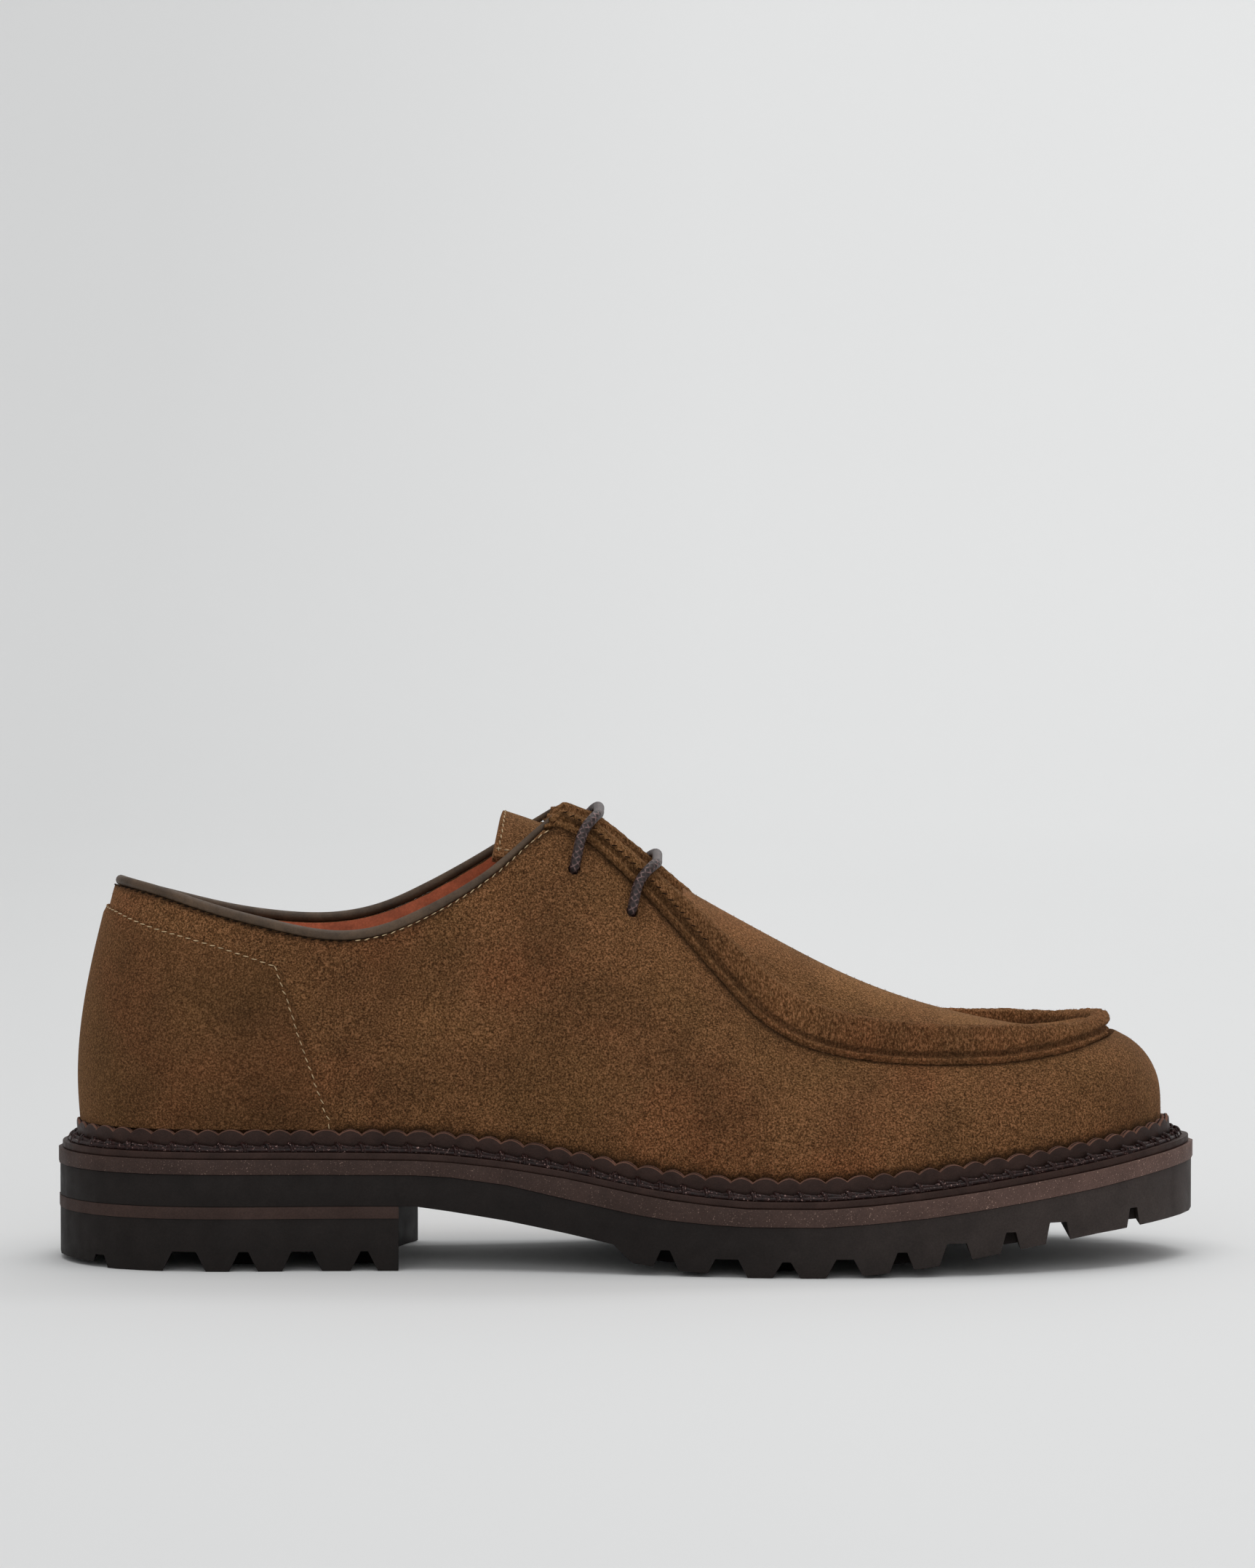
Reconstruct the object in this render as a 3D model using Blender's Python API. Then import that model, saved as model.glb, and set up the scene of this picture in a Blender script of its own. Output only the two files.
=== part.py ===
"""Derby shoe for the right foot: suede upper with a raised apron seam on a lugged rubber sole.

The shoe stands on its sole with the toe towards +X and the lateral side towards -Y.
Tables are in millimetres, in a sample frame: along from the heel's back edge, across from the
heel's middle line (lateral is negative), height from the floor. to_row() turns them into metres.
"""

import math

import bmesh
import bpy
import numpy as np

MM = 0.001

# Driving dimensions of the built shoe, and the sample that the tables were drawn for
SOLE_LENGTH = 309.3
BALL_WIDTH = 106.0
BACK_HEIGHT = 104.0
SAMPLE_LENGTH = 309.3
SAMPLE_BALL_WIDTH = 106.0
SAMPLE_BACK_HEIGHT = 104.0

# Wall and layer thicknesses, and the clearance between pieces that meet on a curve
WALL = 2.4
APRON_THICKNESS = 2.2
TONGUE_THICKNESS = 3.0
INSOLE_THICKNESS = 3.0
COUNTER_THICKNESS = 0.7
CLEARANCE = 0.3

# Sole
FEATHER_INSET = 8.3
OUTSOLE_INSET = 0.4
HEEL_LIFT_TOP = 17.2
HEEL_LIFT_BOTTOM = 14.0
BREAST_ALONG = 94.8
BREAST_SLANT = 0.045
BREAST_HOLLOW = 6.5
HEEL_REAR_LIFT = 1.3
HEEL_GROOVE_DEPTH = 5.2
SIDE_GROOVE_REACH = 17.0

# Welt: a flat flange and an upright lip; scene.py cuts the lip's scallops
WELT_EDGE_INSET = 0.9
WELT_FLAT = 2.2
WELT_LIP = 7.3
WELT_LIP_THICKNESS = 1.9
WELT_COLUMNS = 90

# Upper, apron and trims
UPPER_COLUMNS = 90
UPPER_ROWS = 10
CORNER_SHARE = 0.441
THROAT_SHARE = 0.527
APRON_END_SHARE = 0.985
BINDING_RADIUS = 1.3
BINDING_STOP = 0.008
LACE_RADIUS = 1.25
LACE_HOLE_RADIUS = 1.9
TONGUE_REACH = 176.0

# The sole's edge; columns: along, lateral, medial
SOLE_OUTLINE = (
    (2.6, -14.5, 14.5),
    (13.0, -28.0, 28.0),
    (36.0, -37.0, 37.0),
    (65.0, -36.6, 35.8),
    (95.0, -35.6, 33.0),
    (125.0, -38.2, 34.4),
    (160.0, -46.0, 42.0),
    (192.0, -51.6, 50.4),
    (224.0, -51.4, 53.8),
    (254.0, -44.6, 51.8),
    (280.0, -32.4, 44.4),
    (298.5, -15.6, 31.0),
)
HEEL_TIP = (-0.6, 0.0)
TOE_TIP = (308.7, 8.0)

SOLE_HEIGHT_COLUMNS = ("along", "midsole_top", "midsole_bottom", "tread", "groove_depth")
SOLE_HEIGHTS = (
    (-4.0, 29.7, 26.0, 17.2, 5.0),
    (60.0, 29.6, 25.9, 17.2, 5.0),
    (97.5, 29.2, 25.6, 17.2, 5.0),
    (107.0, 28.7, 25.1, 15.9, 5.0),
    (122.0, 27.2, 23.2, 13.6, 5.0),
    (138.0, 24.9, 19.8, 10.6, 5.0),
    (150.5, 22.5, 17.3, 8.0, 5.0),
    (155.5, 21.5, 16.3, 3.2, 5.0),
    (165.0, 19.9, 14.9, 1.7, 5.0),
    (177.0, 18.6, 13.9, 0.8, 4.4),
    (186.0, 17.9, 13.5, 0.0, 4.1),
    (206.0, 17.9, 13.5, 0.0, 4.3),
    (219.0, 18.8, 14.4, 0.8, 5.0),
    (234.0, 20.3, 15.7, 2.5, 5.0),
    (248.0, 22.0, 17.4, 4.8, 5.0),
    (264.0, 24.2, 19.6, 7.4, 5.2),
    (280.0, 26.4, 21.9, 9.6, 5.2),
    (294.0, 28.5, 24.2, 10.9, 5.0),
    (312.0, 31.0, 26.8, 12.4, 5.0),
)

# Grooves of the tread; those marked across run from side to side, the others stop short.
# Columns: along, width at the mouth, width at the floor, across
FOREFOOT_GROOVES = (
    (164.2, 6.9, 2.3, False),
    (180.5, 10.5, 6.1, True),
    (196.3, 7.3, 2.2, False),
    (211.8, 9.6, 4.6, True),
    (227.0, 6.5, 2.5, False),
    (241.6, 8.7, 5.2, True),
    (256.2, 5.4, 2.6, False),
    (269.1, 6.6, 4.6, True),
    (290.2, 3.6, 2.0, False),
)
HEEL_GROOVES = (
    (12.6, 4.4, 2.4, False),
    (35.8, 11.6, 6.4, True),
    (51.7, 7.7, 2.5, False),
    (67.3, 10.6, 5.6, True),
    (83.9, 7.3, 1.9, False),
)

# The last's middle line above the sole, and the upper by its share of the way from heel to toe:
# where its top edge runs, and how the wall leaves the welt and arrives at the top edge.
# Columns of UPPER: share, along, half width, height, foot_out, foot_reach, head_in, head_reach
LAST_LINE_COLUMNS = ("along", "across")
LAST_LINE = (
    (0.0, 0.0),
    (60.0, -0.6),
    (120.0, -0.8),
    (170.0, 0.0),
    (220.0, 1.8),
    (260.0, 4.2),
    (300.0, 7.4),
)
UPPER = (
    (0.000, 14.8, 0.0, 101.4, 14.0, 0.34, 15.0, 0.33),
    (0.050, 18.8, 12.6, 101.2, 14.5, 0.34, 13.0, 0.33),
    (0.100, 29.0, 20.6, 99.0, 15.0, 0.34, 9.0, 0.33),
    (0.150, 43.0, 26.0, 94.7, 15.5, 0.34, 4.0, 0.33),
    (0.200, 58.0, 28.6, 91.0, 16.0, 0.34, 0.0, 0.33),
    (0.250, 73.0, 29.5, 88.0, 15.0, 0.34, -2.0, 0.33),
    (0.300, 88.5, 29.6, 89.2, 14.0, 0.34, 0.0, 0.33),
    (0.345, 103.0, 29.0, 95.5, 13.0, 0.34, 4.0, 0.33),
    (0.385, 116.5, 27.4, 103.8, 13.0, 0.34, 11.0, 0.34),
    (0.415, 126.5, 25.0, 112.4, 12.0, 0.34, 20.0, 0.35),
    (0.441, 135.0, 21.8, 119.2, 12.0, 0.34, 31.0, 0.36),
    (0.463, 143.0, 22.4, 114.8, 12.0, 0.34, 38.0, 0.36),
    (0.495, 154.0, 24.0, 104.8, 12.0, 0.34, 43.0, 0.36),
    (0.530, 166.0, 26.0, 92.3, 12.0, 0.34, 46.0, 0.36),
    (0.565, 178.0, 27.8, 78.4, 13.0, 0.34, 47.0, 0.37),
    (0.600, 190.5, 29.2, 65.5, 14.0, 0.36, 46.0, 0.38),
    (0.640, 205.5, 30.0, 58.2, 14.0, 0.38, 46.0, 0.39),
    (0.690, 223.0, 30.2, 55.1, 13.0, 0.40, 47.0, 0.40),
    (0.740, 239.0, 30.0, 54.3, 11.0, 0.42, 49.0, 0.40),
    (0.800, 256.5, 28.6, 54.8, 8.0, 0.45, 53.0, 0.39),
    (0.855, 270.0, 24.8, 56.6, 5.0, 0.48, 57.0, 0.38),
    (0.910, 279.2, 18.4, 58.4, 3.0, 0.50, 61.0, 0.37),
    (0.955, 284.4, 10.4, 59.8, 1.0, 0.52, 64.0, 0.36),
    (1.000, 286.3, 0.0, 60.4, 0.0, 0.54, 66.0, 0.35),
)

# How much higher the medial collar is than the lateral one
MEDIAL_COLLAR_COLUMNS = ("share", "lift")
MEDIAL_COLLAR = (
    (0.000, 0.0),
    (0.050, -2.2),
    (0.100, -3.2),
    (0.150, -2.8),
    (0.200, -1.6),
    (0.250, 0.8),
    (0.300, 2.8),
    (0.345, 3.6),
    (0.385, 3.6),
    (0.415, 2.2),
    (0.441, 0.0),
    (1.000, 0.0),
)

# The raised seam: its height square to the base line, and the height of the apron's edge.
# Columns of its section, RIM_OUTER: inward, share of the height, lift
RIM_COLUMNS = ("share", "height", "inner")
RIM = (
    (0.434, 3.2, 0.6),
    (0.441, 4.8, 0.8),
    (0.470, 5.2, 0.9),
    (0.500, 6.0, 1.2),
    (0.530, 7.5, 2.0),
    (0.565, 9.7, 3.9),
    (0.600, 11.4, 5.5),
    (0.640, 11.8, 6.4),
    (0.690, 11.3, 6.0),
    (0.740, 10.7, 4.8),
    (0.800, 10.0, 3.4),
    (0.855, 8.0, 2.4),
    (0.910, 6.6, 1.8),
    (1.000, 5.8, 1.6),
)
RIM_OUTER = (
    (-0.2, 0.00, 0.5),
    (-0.8, 0.00, 1.5),
    (0.2, 0.00, 2.8),
    (-0.1, 0.60, 0.0),
    (1.3, 1.00, -0.3),
    (3.2, 1.00, 0.1),
    (5.0, 1.00, -0.5),
)
RIM_INNER_INWARD = 6.4

# Height of the apron's middle line, and of the tongue's
APRON_RIDGE_COLUMNS = ("along", "height")
APRON_RIDGE = (
    (154.0, 108.6),
    (161.6, 104.5),
    (177.4, 95.6),
    (193.3, 87.0),
    (209.0, 78.7),
    (225.0, 71.8),
    (238.8, 67.4),
    (252.0, 64.2),
    (266.0, 61.6),
    (282.0, 60.6),
)
TONGUE_COLUMNS = ("along", "height", "half", "drop")
TONGUE = (
    (118.0, 121.6, 19.0, 11.5),
    (124.0, 120.4, 19.0, 11.5),
    (132.0, 117.6, 18.0, 10.5),
    (142.0, 112.0, 17.0, 9.6),
    (154.0, 105.6, 16.6, 9.4),
    (166.0, 99.5, 16.0, 9.4),
    (178.0, 92.8, 16.0, 9.6),
)

# The counter's upper edge: its height by share of the way from heel to toe
COUNTER_COLUMNS = ("share", "height")
COUNTER = (
    (0.000, 96.0),
    (0.040, 95.2),
    (0.090, 91.6),
    (0.150, 87.2),
    (0.200, 82.4),
    (0.216, 80.6),
    (0.226, 73.0),
    (0.246, 58.0),
    (0.272, 40.0),
)
COUNTER_END_SHARE = 0.272

# Lace holes; columns: share of the way to the toe, share of the wall's height, and the share
# at which the lace crosses the seam
LACE_HOLES = (
    (0.458, 0.892, 0.459),
    (0.503, 0.910, 0.501),
)

# Colour and roughness of each kind of piece
LOOKS = {
    "outsole": ((0.022, 0.019, 0.018), 0.62),
    "midsole": ((0.085, 0.040, 0.030), 0.60),
    "heel_lift": ((0.070, 0.034, 0.026), 0.60),
    "heel_block": ((0.022, 0.019, 0.018), 0.62),
    "welt": ((0.040, 0.020, 0.016), 0.50),
    "insole": ((0.230, 0.075, 0.035), 0.55),
    "upper": ((0.120, 0.066, 0.028), 0.95),
    "apron": ((0.135, 0.076, 0.034), 0.95),
    "apron_seam": ((0.115, 0.062, 0.026), 0.95),
    "counter": ((0.120, 0.066, 0.028), 0.95),
    "collar_binding": ((0.060, 0.042, 0.028), 0.45),
    "tongue": ((0.120, 0.066, 0.028), 0.95),
    "lace": ((0.030, 0.018, 0.014), 0.40),
}


# Curves and tables


class Table:
    """Rows under named columns, read at any value of the first column by a smooth curve."""

    def __init__(self, columns, rows):
        self.columns = {
            name: np.array([float(row[place]) for row in rows]) for place, name in enumerate(columns)
        }
        self.keys = self.columns[columns[0]]

    def at(self, name, key):
        """The value in a column, by a cubic curve that never overshoots its rows."""
        keys, values = self.keys, self.columns[name]
        key = min(max(key, keys[0]), keys[-1])
        place = int(min(max(np.searchsorted(keys, key) - 1, 0), len(keys) - 2))
        steps = np.diff(keys)
        rises = np.diff(values) / steps
        slopes = np.zeros(len(keys))
        slopes[0], slopes[-1] = rises[0], rises[-1]
        for row in range(1, len(keys) - 1):
            if rises[row - 1] * rises[row] > 0:
                slopes[row] = 2 / (1 / rises[row - 1] + 1 / rises[row])
        step = steps[place]
        t = (key - keys[place]) / step
        return (
            (2 * t**3 - 3 * t**2 + 1) * values[place]
            + (t**3 - 2 * t**2 + t) * step * slopes[place]
            + (3 * t**2 - 2 * t**3) * values[place + 1]
            + (t**3 - t**2) * step * slopes[place + 1]
        )

    def straight_at(self, name, key):
        """The value in a column, by straight lines from row to row."""
        return float(np.interp(key, self.keys, self.columns[name]))


class Loop:
    """A smooth closed curve through rows of values; keys run from 0 to 1 around it."""

    def __init__(self, keys, values):
        self.keys = np.append(np.array(keys, float), 1.0)
        self.values = np.vstack([np.array(values, float), values[0]])
        steps = np.diff(self.keys)
        count = len(steps)
        system = np.zeros((count, count))
        right = np.zeros((count, self.values.shape[1]))
        for row in range(count):
            before, after = steps[row - 1], steps[row]
            system[row, row - 1] += before / 6
            system[row, row] += (before + after) / 3
            system[row, (row + 1) % count] += after / 6
            right[row] = (self.values[row + 1] - self.values[row]) / after
            right[row] -= (self.values[row] - self.values[row - 1 if row else count - 1]) / before
        bends = np.linalg.solve(system, right)
        self.bends = np.vstack([bends, bends[0]])

    def at(self, key):
        key = key % 1.0
        place = int(min(np.searchsorted(self.keys, key, side="right") - 1, len(self.keys) - 2))
        step = self.keys[place + 1] - self.keys[place]
        b = (key - self.keys[place]) / step
        a = 1 - b
        return (
            a * self.values[place]
            + b * self.values[place + 1]
            + ((a**3 - a) * self.bends[place] + (b**3 - b) * self.bends[place + 1]) * step**2 / 6
        )


class Outline:
    """The sole's edge seen from above, by turn: 0 at the heel, 0.5 at the toe, lateral side first."""

    SAMPLES = 1440

    def __init__(self):
        lateral = [(along, side) for along, side, _ in SOLE_OUTLINE]
        medial = [(along, side) for along, _, side in reversed(SOLE_OUTLINE)]
        corners = np.array([HEEL_TIP, *lateral, TOE_TIP, *medial])
        chords = np.linalg.norm(np.diff(np.vstack([corners, corners[0]]), axis=0), axis=1)
        keys = np.cumsum(chords) / chords.sum()
        curve = Loop(np.insert(keys[:-1], 0, 0.0), corners)
        toe_key = keys[len(lateral)]
        self.halves = []
        for start, end in ((0.0, toe_key), (toe_key, 1.0)):
            points = np.array([curve.at(key) for key in np.linspace(start, end - 1e-9, self.SAMPLES)])
            walk = np.insert(np.cumsum(np.linalg.norm(np.diff(points, axis=0), axis=1)), 0, 0.0)
            self.halves.append((walk / walk[-1], points))

    def edge(self, turn):
        turn = turn % 1.0
        shares, points = self.halves[0] if turn < 0.5 else self.halves[1]
        share = turn * 2 if turn < 0.5 else turn * 2 - 1
        return np.array([np.interp(share, shares, points[:, 0]), np.interp(share, shares, points[:, 1])])

    def outward(self, turn):
        along, across = self.edge(turn + 0.002) - self.edge(turn - 0.002)
        return np.array([across, -along]) / math.hypot(along, across)

    def inset(self, turn, distance):
        return self.edge(turn) - self.outward(turn) * distance


SOLE = Table(SOLE_HEIGHT_COLUMNS, SOLE_HEIGHTS)
LAST_MIDDLE = Table(LAST_LINE_COLUMNS, LAST_LINE)
COLLAR_LIFT = Table(MEDIAL_COLLAR_COLUMNS, MEDIAL_COLLAR)
RIM_TABLE = Table(RIM_COLUMNS, RIM)
RIDGE = Table(APRON_RIDGE_COLUMNS, APRON_RIDGE)
TONGUE_TABLE = Table(TONGUE_COLUMNS, TONGUE)
COUNTER_TABLE = Table(COUNTER_COLUMNS, COUNTER)
OUTLINE = Outline()


def unit(vector):
    return vector / np.linalg.norm(vector)


# The upper's own surface


def upper_loop():
    """The upper's table carried round both sides: top edge, wall directions and reaches."""
    keys, rows = [], []
    both = [(row, -1) for row in UPPER] + [(row, 1) for row in reversed(UPPER[1:-1])]
    for (share, along, half, height, *wall), side in both:
        keys.append(share / 2 if side < 0 else 1 - share / 2)
        across = LAST_MIDDLE.at("across", along) + side * half
        lift = COLLAR_LIFT.at("lift", share) if side > 0 else 0.0
        rows.append((along, across, height + lift, *wall))
    return Loop(keys, rows)


UPPER_LOOP = upper_loop()


def upper_point(turn, rise, lift=0.0):
    """A point of the upper's outer face: rise 0 at the welt, 1 at the top edge."""
    along, across, height, foot_out, foot_reach, head_in, head_reach = UPPER_LOOP.at(turn)
    foot = OUTLINE.inset(turn, FEATHER_INSET)
    outward = np.append(OUTLINE.outward(turn), 0.0)
    up = np.array([0.0, 0.0, 1.0])
    start = np.array([foot[0], foot[1], SOLE.straight_at("midsole_top", foot[0]) + CLEARANCE])
    end = np.array([along, across, height])
    span = np.linalg.norm(end - start)
    leave = up * math.cos(math.radians(foot_out)) + outward * math.sin(math.radians(foot_out))
    arrive = up * math.cos(math.radians(head_in)) - outward * math.sin(math.radians(head_in))
    first = start + leave * span * foot_reach
    second = end - arrive * span * head_reach
    t = rise
    point = (1 - t) ** 3 * start + 3 * (1 - t) ** 2 * t * first
    point = point + 3 * (1 - t) * t**2 * second + t**3 * end
    if lift:
        point = point + upper_normal(turn, rise) * lift
    return point


def upper_normal(turn, rise):
    """The direction that the upper's outer face looks in."""
    step = 0.003
    low, high = max(rise - step, 0.0), min(rise + step, 1.0)
    round_it = upper_point(turn + step, rise) - upper_point(turn - step, rise)
    up_it = upper_point(turn, high) - upper_point(turn, low)
    return unit(np.cross(round_it, up_it))


def edge_stand(turn):
    """The direction that leads straight on from the wall's top edge, square to the edge."""
    run = upper_point(turn + 0.003, 1.0) - upper_point(turn - 0.003, 1.0)
    return unit(np.cross(upper_normal(turn, 1.0), run))


def rise_at_height(turn, height):
    """The rise at which the upper's outer face reaches a height."""
    rises = np.linspace(0.0, 1.0, 60)
    return float(np.interp(height, [upper_point(turn, rise)[2] for rise in rises], rises))


# The raised seam's own frame, by share from heel to toe and side


def turn_of(share, side):
    return share / 2 if side < 0 else 1 - share / 2


def seam_frame(share, side):
    """The seam's base point with its inward and its standing direction."""
    turn = turn_of(share, side)
    base = upper_point(turn, 1.0)
    run = unit(upper_point(turn + 0.003, 1.0) - upper_point(turn - 0.003, 1.0))
    inward = unit(np.cross(np.array([0.0, 0.0, 1.0]), run))
    stand = unit(np.cross(run, inward))
    return base, inward, stand


def seam_point(share, side, inward_by, stand_by):
    base, inward, stand = seam_frame(share, side)
    return base + inward * inward_by + stand * stand_by


def apron_edge(share, side):
    """The apron's top edge where it meets the raised seam."""
    height = RIM_TABLE.at("inner", share) + APRON_THICKNESS
    return seam_point(share, side, RIM_INNER_INWARD + CLEARANCE + 0.1, height)


# Making objects


def to_row(point):
    """A sample point in millimetres as a point of the row in metres."""
    origin_along = (HEEL_TIP[0] + TOE_TIP[0]) / 2
    lateral = min(side for _, side, _ in SOLE_OUTLINE)
    medial = max(side for _, _, side in SOLE_OUTLINE)
    along = (point[0] - origin_along) * SOLE_LENGTH / SAMPLE_LENGTH
    across = (point[1] - (lateral + medial) / 2) * BALL_WIDTH / SAMPLE_BALL_WIDTH
    height = point[2] * BACK_HEIGHT / SAMPLE_BACK_HEIGHT
    return (along * MM, across * MM, height * MM)


def clear_scene():
    for thing in list(bpy.data.objects):
        bpy.data.objects.remove(thing, do_unlink=True)


def piece_material(name, look):
    colour, roughness = LOOKS[look]
    material = bpy.data.materials.new(name)
    material.use_nodes = True
    shader = material.node_tree.nodes["Principled BSDF"]
    shader.inputs["Base Color"].default_value = (*colour, 1.0)
    shader.inputs["Roughness"].default_value = roughness
    shader.inputs["Metallic"].default_value = 0.0
    return material


def finish_object(name, bm, look, smooth=True):
    """Turns a bmesh in sample millimetres into a named object with its material."""
    for vertex in bm.verts:
        vertex.co = to_row(vertex.co)
    bmesh.ops.recalc_face_normals(bm, faces=bm.faces)
    for face in bm.faces:
        face.smooth = smooth
    mesh = bpy.data.meshes.new(name)
    bm.to_mesh(mesh)
    bm.free()
    shape = bpy.data.objects.new(name, mesh)
    bpy.context.collection.objects.link(shape)
    shape.data.materials.append(piece_material(name, look))
    return shape


def grid_solid(name, outer, inner, look, closed):
    """One closed body between two grids of points, indexed by column and row."""
    bm = bmesh.new()
    skins = [[[bm.verts.new(point) for point in column] for column in grid] for grid in (outer, inner)]
    count, rows = len(outer), len(outer[0])
    for column in range(count if closed else count - 1):
        after = (column + 1) % count
        for row in range(rows - 1):
            for grid in skins:
                bm.faces.new(
                    (grid[column][row], grid[after][row], grid[after][row + 1], grid[column][row + 1])
                )
        for row in (0, rows - 1):
            bm.faces.new(
                (skins[0][column][row], skins[0][after][row], skins[1][after][row], skins[1][column][row])
            )
    if not closed:
        for column in (0, count - 1):
            for row in range(rows - 1):
                bm.faces.new(
                    (
                        skins[0][column][row],
                        skins[0][column][row + 1],
                        skins[1][column][row + 1],
                        skins[1][column][row],
                    )
                )
    return finish_object(name, bm, look)


def swept_solid(name, sections, look, closed):
    """One closed body through sections that all have the same number of points."""
    bm = bmesh.new()
    rings = [[bm.verts.new(point) for point in section] for section in sections]
    size = len(rings[0])
    for place in range(len(rings) if closed else len(rings) - 1):
        here, after = rings[place], rings[(place + 1) % len(rings)]
        for corner in range(size):
            beside = (corner + 1) % size
            bm.faces.new((here[corner], here[beside], after[beside], after[corner]))
    if not closed:
        bm.faces.new(rings[0])
        bm.faces.new(rings[-1])
    return finish_object(name, bm, look)


def slab_mesh(inset, bottom, top, stations, count=96):
    """A layer of the sole as a bmesh: the outline, cut across at stations, between two heights."""
    bm = bmesh.new()
    ring = [bm.verts.new((*OUTLINE.inset(turn / count, inset), 0.0)) for turn in range(count)]
    face = bm.faces.new(ring)
    lifted = bmesh.ops.extrude_face_region(bm, geom=[face])
    for item in lifted["geom"]:
        if isinstance(item, bmesh.types.BMVert):
            item.co.z = 1.0
    for station in stations:
        bmesh.ops.bisect_plane(
            bm,
            geom=bm.verts[:] + bm.edges[:] + bm.faces[:],
            plane_co=(station, 0.0, 0.0),
            plane_no=(1.0, 0.0, 0.0),
        )
    for vertex in bm.verts:
        heights = top if vertex.co.z > 0.5 else bottom
        vertex.co.z = heights(vertex.co.x)
    return bm


def cut_breast(shape):
    """Cuts a layer at the heel's front face, which is hollow between its two corners."""
    half = (edge_at(BREAST_ALONG, 1) - edge_at(BREAST_ALONG, -1)) / 2
    middle = (edge_at(BREAST_ALONG, 1) + edge_at(BREAST_ALONG, -1)) / 2
    wide, front = 2 * half, 2 * SAMPLE_LENGTH
    arc = []
    for place in range(-5, 6):
        q = place / 4
        along = BREAST_ALONG + BREAST_SLANT * (middle + q * half) - BREAST_HOLLOW * (1 - q * q)
        arc.append((along, middle + q * half))
    plan = [(front, -wide), (arc[0][0], -wide), *arc, (arc[-1][0], wide), (front, wide)]
    bm = bmesh.new()
    rings = [[bm.verts.new((x, y, z)) for x, y in plan] for z in (-10.0, 60.0)]
    for corner in range(len(plan)):
        beside = (corner + 1) % len(plan)
        bm.faces.new((rings[0][corner], rings[0][beside], rings[1][beside], rings[1][corner]))
    bm.faces.new(rings[0])
    bm.faces.new(rings[1])
    add_boolean(shape, finish_object("breast_cutter", bm, "heel_block", smooth=False))


def groove_prism(bm, along, mouth, floor, low, high, near, far):
    """A wedge across the sole, wide at the tread and narrow at the groove's floor."""
    reach = 3.0
    spread = (mouth - floor) / 2 * reach / (high - low)
    section = (
        (along - mouth / 2 - spread, low - reach),
        (along + mouth / 2 + spread, low - reach),
        (along + floor / 2, high),
        (along - floor / 2, high),
    )
    ends = [[bm.verts.new((x, across, z)) for x, z in section] for across in (near, far)]
    for corner in range(4):
        beside = (corner + 1) % 4
        bm.faces.new((ends[0][corner], ends[0][beside], ends[1][beside], ends[1][corner]))
    bm.faces.new(ends[0])
    bm.faces.new(ends[1])


def edge_at(along, side):
    """How far out the sole's edge is at a place along it, on one side."""
    turns = np.linspace(0.001, 0.499, 250) if side < 0 else np.linspace(0.501, 0.999, 250)
    points = np.array([OUTLINE.edge(turn) for turn in turns])
    order = np.argsort(points[:, 0])
    return float(np.interp(along, points[order, 0], points[order, 1]))


def cut_grooves(shape, grooves, tread, depth):
    """Cuts the tread's grooves out of a sole piece with one exact Boolean."""
    bm = bmesh.new()
    for along, mouth, floor, across in grooves:
        low = tread(along)
        high = low + depth(along)
        if across:
            groove_prism(bm, along, mouth, floor, low, high, -70.0, 70.0)
            continue
        for side in (-1, 1):
            edge = edge_at(along, side)
            inner = edge - side * SIDE_GROOVE_REACH
            groove_prism(bm, along, mouth, floor, low, high, *sorted((inner, side * 70.0)))
    cutter = finish_object("groove_cutter", bm, "outsole", smooth=False)
    add_boolean(shape, cutter)


def add_boolean(shape, cutter):
    """Applies an exact difference and removes its cutter."""
    modifier = shape.modifiers.new("cut", "BOOLEAN")
    modifier.operation = "DIFFERENCE"
    modifier.solver = "EXACT"
    modifier.object = cutter
    evaluated = shape.evaluated_get(bpy.context.evaluated_depsgraph_get())
    mesh = bpy.data.meshes.new_from_object(evaluated)
    shape.modifiers.clear()
    shape.data = mesh
    bpy.data.objects.remove(cutter, do_unlink=True)


def tube_object(name, points, radius, look):
    """A round cord, lace or piping along points, as a bevelled curve with filled ends."""
    curve = bpy.data.curves.new(name, "CURVE")
    curve.dimensions = "3D"
    curve.bevel_depth = radius * MM
    curve.bevel_resolution = 2
    curve.use_fill_caps = True
    spline = curve.splines.new("POLY")
    spline.points.add(len(points) - 1)
    for place, point in enumerate(points):
        spline.points[place].co = (*to_row(point), 1.0)
    spline.use_smooth = True
    shape = bpy.data.objects.new(name, curve)
    bpy.context.collection.objects.link(shape)
    curve.materials.append(piece_material(name, look))
    return shape


def smooth_path(points, spacing):
    """Evenly spaced points on a smooth curve through a route's own points."""
    route = np.array(points, float)
    chords = np.linalg.norm(np.diff(route, axis=0), axis=1)
    keys = np.insert(np.cumsum(chords), 0, 0.0)
    columns = [Table(("walk", "value"), list(zip(keys, route[:, axis]))) for axis in range(3)]
    count = max(int(round(keys[-1] / spacing)), 4)
    return [np.array([column.at("value", key) for column in columns])
            for key in np.linspace(0.0, keys[-1], count + 1)]


# The sole


def sole_height(name, offset=0.0):
    return lambda along: SOLE.straight_at(name, along) + offset


def level(height):
    return lambda along: height


def sole_stations():
    return [row[0] for row in SOLE_HEIGHTS[1:-1]]


def make_outsole():
    """The dark rubber sole: flat under the heel, arched at the waist, lugged at the forefoot."""
    bm = slab_mesh(
        OUTSOLE_INSET, sole_height("tread"), sole_height("midsole_bottom", -CLEARANCE), sole_stations()
    )
    shape = finish_object("outsole", bm, "outsole", smooth=False)
    cut_grooves(shape, FOREFOOT_GROOVES, sole_height("tread"), sole_height("groove_depth"))


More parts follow.
